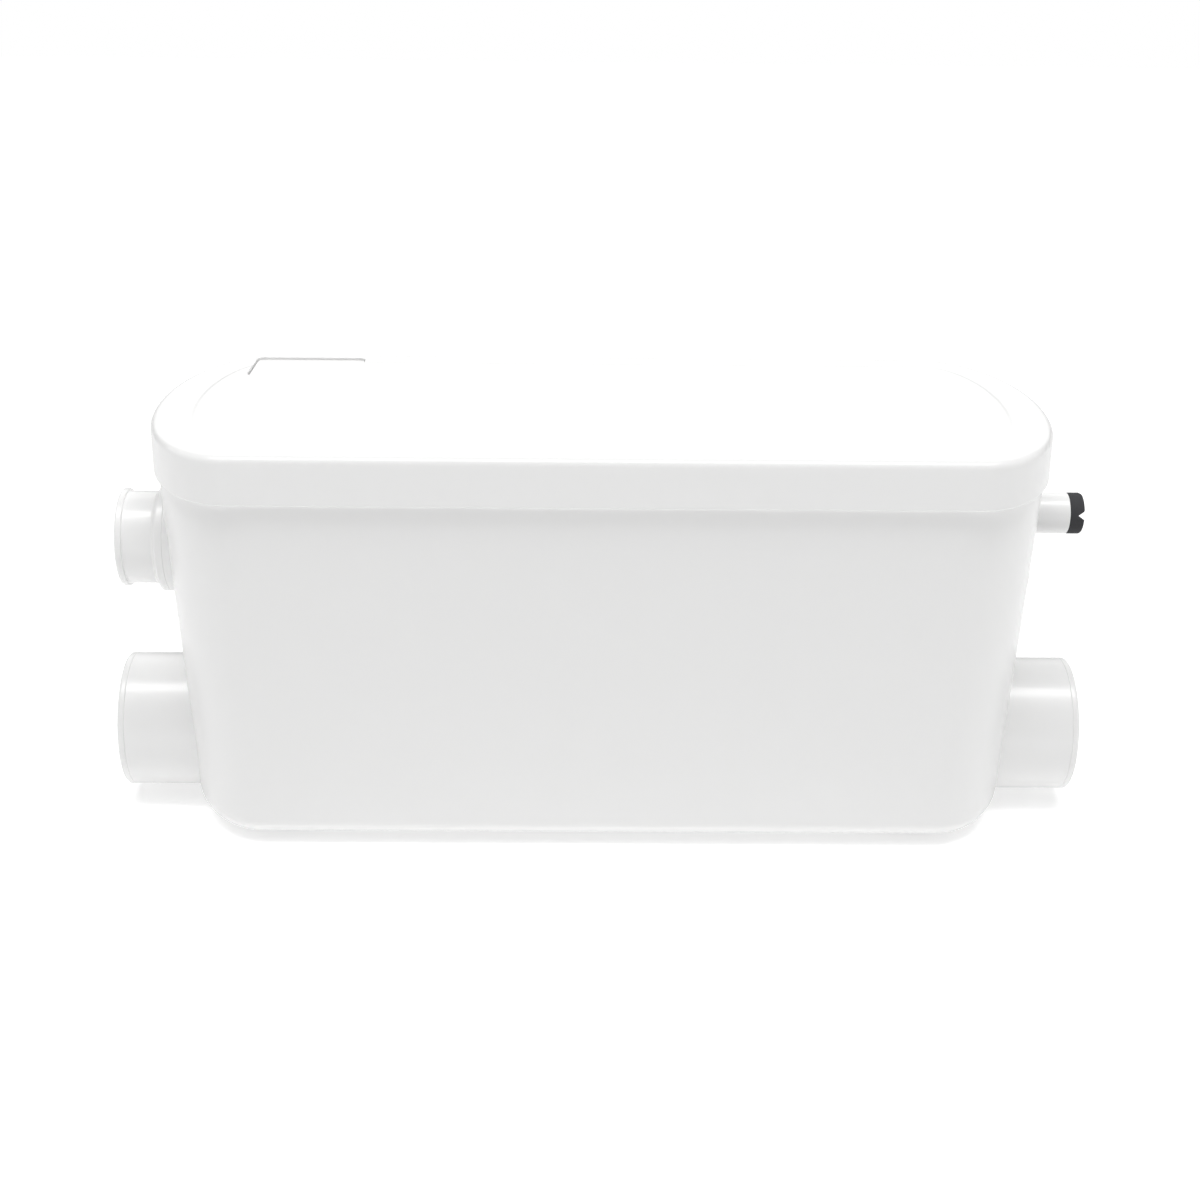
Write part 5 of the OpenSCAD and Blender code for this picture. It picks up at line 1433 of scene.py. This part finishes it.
@dataclass
class PumpUnit:
    """The mounting plate and the motor, with their screws, and the wet end below."""

    bench: Bench
    shape: BoxShape
    plate_z: float = 51.0
    plate_t: float = 4.0
    plate_w: float = 208.0
    plate_d: float = 112.0
    plate_corner: float = 14.0
    shaft_hole_r: float = 11.0
    riser_x: float = -78.0
    riser_hole_r: float = 11.55
    switch_x: float = 78.0
    switch_hole_r: float = 12.5
    post_hole_r: float = 2.3
    grommet_l: float = 4.0
    groove_r: float = 5.0
    motor_r: float = 43.0
    motor_h: float = 70.0
    motor_wall: float = 2.5
    motor_floor: float = 3.0
    flange_r: float = 52.0
    flange_t: float = 4.0
    flange_hole_r: float = 2.05
    flange_screw_r: float = 47.4
    lug_r: float = 4.6
    lug_place: float = 45.6
    lug_h: float = 12.0
    lug_hole_r: float = 1.65
    lug_screw_r: float = 47.2
    lug_turn: float = 45.0
    ribs: int = 8
    rib_size: Pair = (2.4, 3.0)
    cover_t: float = 4.0
    step_r: float = 37.0
    dish_r: float = 17.0
    hub_r: float = 14.0
    hub_h: float = 7.0
    hub_hole_r: float = 9.5
    bearing_gap: float = 0.05
    bearing_r: float = 11.0
    bearing_w: float = 7.0
    bearing_bore_r: float = 4.05
    shield_inner_r: float = 5.8
    shield_outer_r: float = 9.2
    shield_depth: float = 0.5
    strainer_screw_place: Pair = (45.0, 14.0)
    strainer_screw_turns: tuple[int, ...] = (30, 110, 210, 300)
    over: float = 1.0

    @property
    def plate_top(self) -> float:
        """Height of the plate's upper face."""
        return self.plate_z + self.plate_t

    @property
    def motor_top(self) -> float:
        """Height of the casing's upper edge."""
        return self.plate_top + self.motor_h

    def build(self) -> None:
        """Makes the plate, the motor and the pump's pieces."""
        self._plate()
        self._casing()
        self._cover()
        self._bearings()
        self._screws()
        for name, node in (("pump_volute", "volute"), ("pump_impeller", "impeller"),
                           ("pump_strainer", "strainer"), ("pump_shaft", "motor_shaft")):
            self.bench.soften(name, node)

    def _ring_of(self, form: Form, radius: float, start: float = 0.0, count: int = 4) -> Form:
        """Copies of a form round the motor's axis."""
        first = form.moved(x=radius).spun(start)
        return joined(first.spun(360 / count * i) for i in range(count))

    def _hole(self, radius: float, low: float, high: float) -> Form:
        """One small hole's tool, a little longer than the hole."""
        return rod(radius, low - self.over, high + self.over, steps=Facets.HOLE)

    def _plate(self) -> None:
        """The plate with its bores and screw holes, and the grommets below it."""
        low, high = self.plate_z - self.over, self.plate_top + self.over
        plate = slab(self.plate_w, self.plate_d, self.plate_t, self.plate_corner, 0.5).moved(z=self.plate_z)
        holes = rod(self.shaft_hole_r, low, high) + rod(self.riser_hole_r, low, high).moved(self.riser_x)
        holes += rod(self.switch_hole_r, low, high).moved(self.switch_x)
        post_hole = self._hole(self.post_hole_r, self.plate_z, self.plate_top)
        screw_hole = self._hole(self.flange_hole_r, self.plate_z, self.plate_top)
        holes += in_quarters(post_hole, self.shape.post_place)
        holes += self._ring_of(screw_hole, self.flange_screw_r)
        self.bench.fit("pump_plate", plate.cut(holes), "mounting_plate")
        foot, waist = self.plate_z - self.grommet_l, self.plate_z - self.grommet_l / 2
        outer, slope = self.shape.post_r, 0.6
        grommet = lathed_ring([
            (foot, self.post_hole_r), (foot, outer, 0.6), (waist - slope, outer, 0.5),
            (waist, self.groove_r, 0.3), (waist + slope, outer, 0.5), (self.plate_z, outer, 0.6),
            (self.plate_z, self.post_hole_r)], Facets.ROD)
        self.bench.fit("plate_grommet_set", in_quarters(grommet, self.shape.post_place), "plate_grommets")

    def _casing(self) -> None:
        """The cast casing: barrel, flange, lugs and the lower bearing's seat."""
        low, top, inner = self.plate_top, self.motor_top, self.motor_r - self.motor_wall
        floor, flange = low + self.motor_floor, low + self.flange_t
        hub, seat_r = floor + self.hub_h, self.bearing_r + self.bearing_gap
        barrel = lathed_ring([
            (low, self.hub_hole_r), (low, self.flange_r, 0.5), (flange, self.flange_r, 1.2),
            (flange, self.motor_r, 2.0), (top, self.motor_r, 0.5), (top, inner, 0.4), (floor, inner, 1.5),
            (floor, self.hub_r), (hub, self.hub_r, 0.4), (hub, seat_r), (floor, seat_r),
            (floor, self.hub_hole_r)], Facets.FINE)
        start, taper, tip_r = top - self.lug_h, 5, 0.4
        lug = turned([(start - taper, tip_r), (start, self.lug_r), (top, self.lug_r)], steps=Facets.HEAD)
        width, depth = self.rib_size
        rib = slab(width, depth, self.motor_h - 2 * depth, 1.1, 0.6).moved(z=low + 2)
        ribs = self._ring_of(rib, self.motor_r + 0.1, self.lug_turn / 2, self.ribs)
        ribs = ribs.cut(turned([(low, inner + 1), (top + 1, inner + 1)], steps=Facets.FINE))
        lug_hole = self._hole(self.lug_hole_r, start + 2 * self.over, top)
        holes = self._ring_of(lug_hole, self.lug_screw_r, self.lug_turn)
        holes += self._ring_of(self._hole(self.flange_hole_r, low, flange), self.flange_screw_r)
        casing = barrel.fused(self._ring_of(lug, self.lug_place, self.lug_turn), ribs).cut(holes)
        self.bench.fit("motor_barrel", casing, "motor_casing")

    def _cover(self) -> None:
        """The cast cover with a stepped top, lugs and the upper bearing's hub."""
        top, face = self.motor_top, self.motor_top + self.cover_t
        seat_r, hub = self.bearing_r + self.bearing_gap, top - self.lug_h
        seat = hub + self.bearing_w
        step, sink, slope, cap_r = face - 1.2, face - 1.0, 1.5, 4.0
        disc = turned(eased([
            (seat + 2, self.hub_hole_r), (seat, self.hub_hole_r), (seat, seat_r), (hub, seat_r),
            (hub, self.hub_r, 0.4), (top, self.hub_r), (top, self.motor_r, 0.3), (step, self.motor_r, 0.8),
            (step, self.step_r, 0.8), (face, self.step_r - slope, 1.0), (face, self.dish_r, 0.8),
            (sink, self.dish_r - slope, 0.8), (sink, cap_r)], closed=False), steps=Facets.FINE)
        lug = lathed([(top, 0.0), (top, self.lug_r), (face, self.lug_r, 0.6), (face, 0.0)], Facets.HEAD)
        holes = self._ring_of(self._hole(self.lug_hole_r, top, face), self.lug_screw_r, self.lug_turn)
        cover = disc.fused(self._ring_of(lug, self.lug_place, self.lug_turn)).cut(holes)
        self.bench.fit("motor_end_cover", cover, "motor_cover")

    def _bearings(self) -> None:
        """Two shielded ball bearings."""
        slope, inner, outer = 0.1, self.shield_inner_r, self.shield_outer_r
        low, high = self.shield_depth, self.bearing_w - self.shield_depth
        ring = lathed_ring([
            (0.0, self.bearing_bore_r, 0.2), (0.0, inner, 0.2), (low, inner + slope), (low, outer - slope),
            (0.0, outer, 0.2), (0.0, self.bearing_r, 0.5), (self.bearing_w, self.bearing_r, 0.5),
            (self.bearing_w, outer, 0.2), (high, outer - slope), (high, inner + slope),
            (self.bearing_w, inner, 0.2), (self.bearing_w, self.bearing_bore_r, 0.2)], Facets.FOOT)
        self.bench.fit("bearing_up", ring.moved(z=self.motor_top - self.lug_h), "upper_bearing")
        self.bench.fit("bearing_low", ring.moved(z=self.plate_top + self.motor_floor), "lower_bearing")

    def _screws(self) -> None:
        """The pan-head screws of the cover, the flange, the plate and the strainer."""
        small, large = (2.8, 1.8), (3.8, 2.6)
        cover = screw(*small, 1.6, self.cover_t + self.lug_h - 2).moved(z=self.motor_top + self.cover_t)
        covers = self._ring_of(cover, self.lug_screw_r, self.lug_turn)
        self.bench.fit("cover_screw_set", covers, "cover_screws")
        flange = screw(*large, 2.0, 13.0).moved(z=self.plate_top + self.flange_t)
        self.bench.fit("flange_screw_set", self._ring_of(flange, self.flange_screw_r), "flange_screws")
        plate, (x, y) = screw(*large, 2.0, 21.7).moved(z=self.plate_top), self.shape.post_place
        turn = 17
        plates = joined(plate.spun(turn * i).moved(x * qx, y * qy) for i, (qx, qy) in enumerate(QUARTERS))
        self.bench.fit("plate_screw_set", plates, "plate_screws")
        x, z = self.strainer_screw_place
        foot = screw(*small, 1.5, 10.0).spun(180, "X").moved(x=x, z=z)
        feet = joined(foot.spun(turn) for turn in self.strainer_screw_turns)
        self.bench.fit("strainer_screw_set", feet, "strainer_screws")


@dataclass
class Electrics:
    """The run capacitor, the terminal block and the cord clamp on the plate."""

    bench: Bench
    base: float = 55.0
    can_place: Pair = (84.0, -39.0)
    can_r: float = 13.0
    can_h: float = 48.0
    can_rim: float = 2.2
    can_sink: float = 0.8
    tag_size: Spot = (4.0, 7.0, 0.8)
    tag_hole_r: float = 0.8
    clip_h: float = 14.0
    clip_t: float = 1.5
    clip_groove: float = 0.5
    block_place: Pair = (82.5, 44.0)
    block_size: Spot = (34.0, 16.0, 13.0)
    ways: int = 3
    entry_r: float = 2.0
    well_r: float = 2.85
    groove_w: float = 0.8
    groove_depth: float = 1.4
    screw_sink: float = 3.8
    screw_size: Spot = (2.8, 1.8, 1.5)
    clamp_place: Pair = (98.0, 25.0)
    clamp_h: float = 10.0
    clamp_screw_y: float = 6.2
    clamp_screw_l: float = 9.7
    over: float = 1.0

    def build(self) -> None:
        """Makes the electrical pieces."""
        self._capacitor()
        self._terminals()
        self.bench.soften("cord_saddle", "cord_clamp", 0.5)
        head, (x, y) = screw(*self.screw_size, self.clamp_screw_l), self.clamp_place
        head = head.moved(z=self.base + self.clamp_h)
        places = ((20, y + self.clamp_screw_y), (65, y - self.clamp_screw_y))
        heads = joined(head.spun(turn).moved(x, at) for turn, at in places)
        self.bench.fit("saddle_screws", heads, "clamp_screws")

    def _capacitor(self) -> None:
        """The capacitor's can with a sunk top, its two tags and its spring clip."""
        (x, y), top, rim_r = self.can_place, self.base + self.can_h, self.can_r - self.can_rim
        can = lathed([
            (self.base, 0.0), (self.base, self.can_r, 1.0), (top, self.can_r, 1.6), (top, rim_r, 0.4),
            (top - self.can_sink, rim_r - 0.4, 0.4), (top - self.can_sink, 0.0)])
        self.bench.fit("capacitor_can", can.moved(x, y), "capacitor")
        hole = rod(self.tag_hole_r, -self.over, 2 * self.over, steps=Facets.HOLE).moved(y=1.6)
        tag = slab(*self.tag_size, 0.7, 0.15).cut(hole).spun(90, "X").spun(90).moved(z=top + 1.6)
        places = [x + offset * self.can_r / 2 - self.tag_size[2] / 2 for offset in (-1, 1)]
        tags = joined(tag.moved(place, y) for place in places)
        self.bench.fit("capacitor_tags", tags, "capacitor", finish=STEEL)
        inner, groove, high = self.can_r + 0.05, 2.0, self.clip_h
        outer, slope = inner + self.clip_t, 0.6
        waist = outer - self.clip_groove
        clip = lathed_ring([
            (0.0, inner, 0.2), (0.0, outer, 0.3), (groove, outer, 0.3), (groove + slope, waist, 0.3),
            (high - groove - slope, waist, 0.3), (high - groove, outer, 0.3), (high, outer, 0.5),
            (high, inner, 0.3)])
        self.bench.fit("capacitor_band", clip.moved(x, y, self.base), "capacitor_clip")

    def _terminals(self) -> None:
        """The terminal block with its entries, wells and parting grooves, and its brass screws."""
        (x, y), (width, depth, height) = self.block_place, self.block_size
        pitch = width / self.ways
        places = [(i - (self.ways - 1) / 2) * pitch for i in range(self.ways)]
        entry = rod(self.entry_r, -depth, depth, steps=Facets.SLIM).spun(90, "X")
        well = rod(self.well_r, height / 2, height + self.over, steps=Facets.SLIM)
        groove = block(self.groove_w, depth + 2 * self.over, 2.0).moved(z=height - self.groove_depth)
        body = slab(width, depth, height, 1.0, 0.5)
        body = body.cut(joined(entry.moved(place, 0.0, height / 2) for place in places),
                        joined(well.moved(place) for place in places))
        body = body.cut(joined(groove.moved(place) for place in (-pitch / 2, pitch / 2)))
        self.bench.fit("terminal_body", body.moved(x, y, self.base), "terminal_block")
        head, turn = screw(*self.screw_size, 1.0).moved(z=self.base + height - self.screw_sink), 25
        heads = joined(head.spun(turn * i).moved(x + place, y) for i, place in enumerate(places))
        self.bench.fit("terminal_screw_set", heads, "terminal_screws")


@dataclass
class LevelSwitch:
    """The air-bell level switch: its tube, housing, plunger and snap switch."""

    bench: Bench
    softened: tuple[tuple[str, str, float], ...] = (
        ("bell_tube", "dip_tube", 0.4), ("switch_shell", "switch_housing", 0.5),
        ("switch_stem", "switch_plunger", 0.3), ("snap_switch", "microswitch", 0.35),
        ("snap_lever", "switch_lever", 0.12), ("snap_pin", "lever_pin", 0.12))

    def build(self) -> None:
        """Makes the switch's pieces from the frame's own shapes."""
        for name, node, edge in self.softened:
            self.bench.soften(name, node, edge)


def grey(level: float) -> tuple[float, float, float, float]:
    """An even grey as a colour of four parts."""
    return level, level, level, 1.0


@dataclass
class StudioLight:
    """One soft rectangular light. Places are in metres."""

    name: str
    place: Spot
    aim: Spot
    size: Pair
    power: float

    def build(self) -> None:
        """Hangs the light and turns it to its aim."""
        data = bpy.data.lights.new(self.name, "AREA")
        data.shape = "RECTANGLE"
        data.size, data.size_y = self.size
        data.energy = self.power
        lamp = bpy.data.objects.new(self.name, data)
        lamp.location = self.place
        lamp.rotation_euler = (Vector(self.aim) - Vector(self.place)).to_track_quat("-Z", "Y").to_euler()
        bpy.context.scene.collection.objects.link(lamp)


@dataclass
class Studio:
    """A white sweep, soft light from above and the sides, and the camera of the photograph."""

    middle_x: float
    distance: float = 737.2
    elevation: float = 21.0
    azimuth: float = -0.84
    roll: float = 0.68
    aim_z: float = 73.7
    focal_pixels: float = 1901.8
    image_pixels: float = 1200.0
    sensor: float = 36.0
    clip: Pair = (0.05, 20.0)
    surround: float = 0.18
    floor_size: float = 6.0
    floor_white: float = 0.8
    floor_fade: Pair = (0.25, 1.2)
    glow_near: float = 0.42
    glow_far: float = 0.8
    glow_as_light: float = 0.3

    def build(self) -> None:
        """Makes the floor, the surround, the lights and the camera."""
        bpy.context.scene.view_settings.view_transform = "Standard"
        self._floor()
        self._surround()
        middle, base = (0.0, -0.07, 0.1), (0.0, 0.0, 0.08)
        for light in (
            StudioLight("top_light", (0.0, -0.5, 2.2), middle, (2.6, 0.6), 40.0),
            StudioLight("front_light", (0.0, -1.3, 2.2), middle, (2.4, 0.5), 6.0),
            StudioLight("back_light", (0.0, 2.3, 1.5), (0.0, 0.0, 0.15), (4.0, 2.2), 24.0),
            StudioLight("left_light", (-1.9, 0.3, 0.9), base, (1.6, 1.4), 4.0),
            StudioLight("right_light", (1.9, 0.3, 0.9), base, (1.6, 1.4), 4.0),
        ):
            light.build()
        self._camera()

    def _floor(self) -> None:
        """The pale floor, which glows a little more with the distance where the camera sees it."""
        half = self.floor_size / 2
        mesh = bpy.data.meshes.new("floor")
        corners = [(-half, -half, 0), (half, -half, 0), (half, half, 0), (-half, half, 0)]
        mesh.from_pydata(corners, [], [(0, 1, 2, 3)])
        floor = bpy.data.objects.new("floor", mesh)
        bpy.context.scene.collection.objects.link(floor)
        paper = bpy.data.materials.new("white_sweep")
        paper.use_nodes = True
        shader = paper.node_tree.nodes["Principled BSDF"]
        shader.inputs["Base Color"].default_value = grey(self.floor_white)
        shader.inputs["Roughness"].default_value = 0.9
        shader.inputs["Specular IOR Level"].default_value = 0.1
        shader.inputs["Emission Strength"].default_value = 1.0
        sheet = Sheet(paper.node_tree)
        place = sheet.add("TexCoord").outputs["Object"]
        away = sheet.add("VectorMath", {0: place}, operation="LENGTH").outputs["Value"]
        share = sheet.ranged(away, *self.floor_fade)
        fade = sheet.blended(share, grey(self.glow_near), grey(self.glow_far))
        seen = sheet.add("LightPath").outputs["Is Camera Ray"]
        sheet.feed(shader.inputs["Emission Color"], sheet.blended(seen, grey(self.glow_as_light), fade))
        mesh.materials.append(paper)

    def _surround(self) -> None:
        """A white room: full white where the camera sees it, softer as a light."""
        world = bpy.data.worlds.new("white_room")
        bpy.context.scene.world = world
        world.use_nodes = True
        sheet = Sheet(world.node_tree)
        glow = world.node_tree.nodes["Background"]
        glow.inputs["Color"].default_value = grey(1.0)
        seen = sheet.add("LightPath").outputs["Is Camera Ray"]
        sheet.feed(glow.inputs["Strength"], sheet.ranged(seen, 0.0, 1.0, self.surround, 1.0))

    def _camera(self) -> None:
        """The camera, at the photograph's distance, height, turn and roll."""
        data = bpy.data.cameras.new("studio_camera")
        data.sensor_fit = "HORIZONTAL"
        data.sensor_width = self.sensor
        data.lens = self.focal_pixels / self.image_pixels * self.sensor
        data.clip_start, data.clip_end = self.clip
        camera = bpy.data.objects.new("studio_camera", data)
        bpy.context.scene.collection.objects.link(camera)
        bpy.context.scene.camera = camera
        up_angle, turn = math.radians(self.elevation), math.radians(self.azimuth)
        flat = math.cos(up_angle)
        back = Vector((math.sin(turn) * flat, -math.cos(turn) * flat, math.sin(up_angle)))
        level = Vector((0, 0, 1)).cross(back).normalized()
        upright = back.cross(level)
        tilt = math.radians(self.roll)
        right = math.cos(tilt) * level + math.sin(tilt) * upright
        up = math.cos(tilt) * upright - math.sin(tilt) * level
        place = Vector((self.middle_x, 0, self.aim_z * MM)) + back * (self.distance * MM)
        axes = Matrix((right, up, back)).transposed().to_4x4()
        camera.matrix_world = Matrix.Translation(place) @ axes


def main() -> None:
    """Builds the dressed pump and its studio."""
    logging.basicConfig(level=logging.INFO, format="%(message)s")
    bench = Bench.over(frame)
    shape = BoxShape()
    ports = PortPlaces(shape)
    bench.dress_frame()
    for assembly in (
        TankShell(bench, shape, ports), LidShell(bench, shape), InletPort(bench, ports, Side.LEFT),
        InletPort(bench, ports, Side.RIGHT), Discharge(bench, ports), SparePort(bench, ports),
        CableGland(bench, ports), PumpUnit(bench, shape), Electrics(bench), LevelSwitch(bench),
    ):
        assembly.build()
        log.info("built %s", type(assembly).__name__)
    Studio(bench.middle_x).build()


if __name__ == "__main__":
    main()
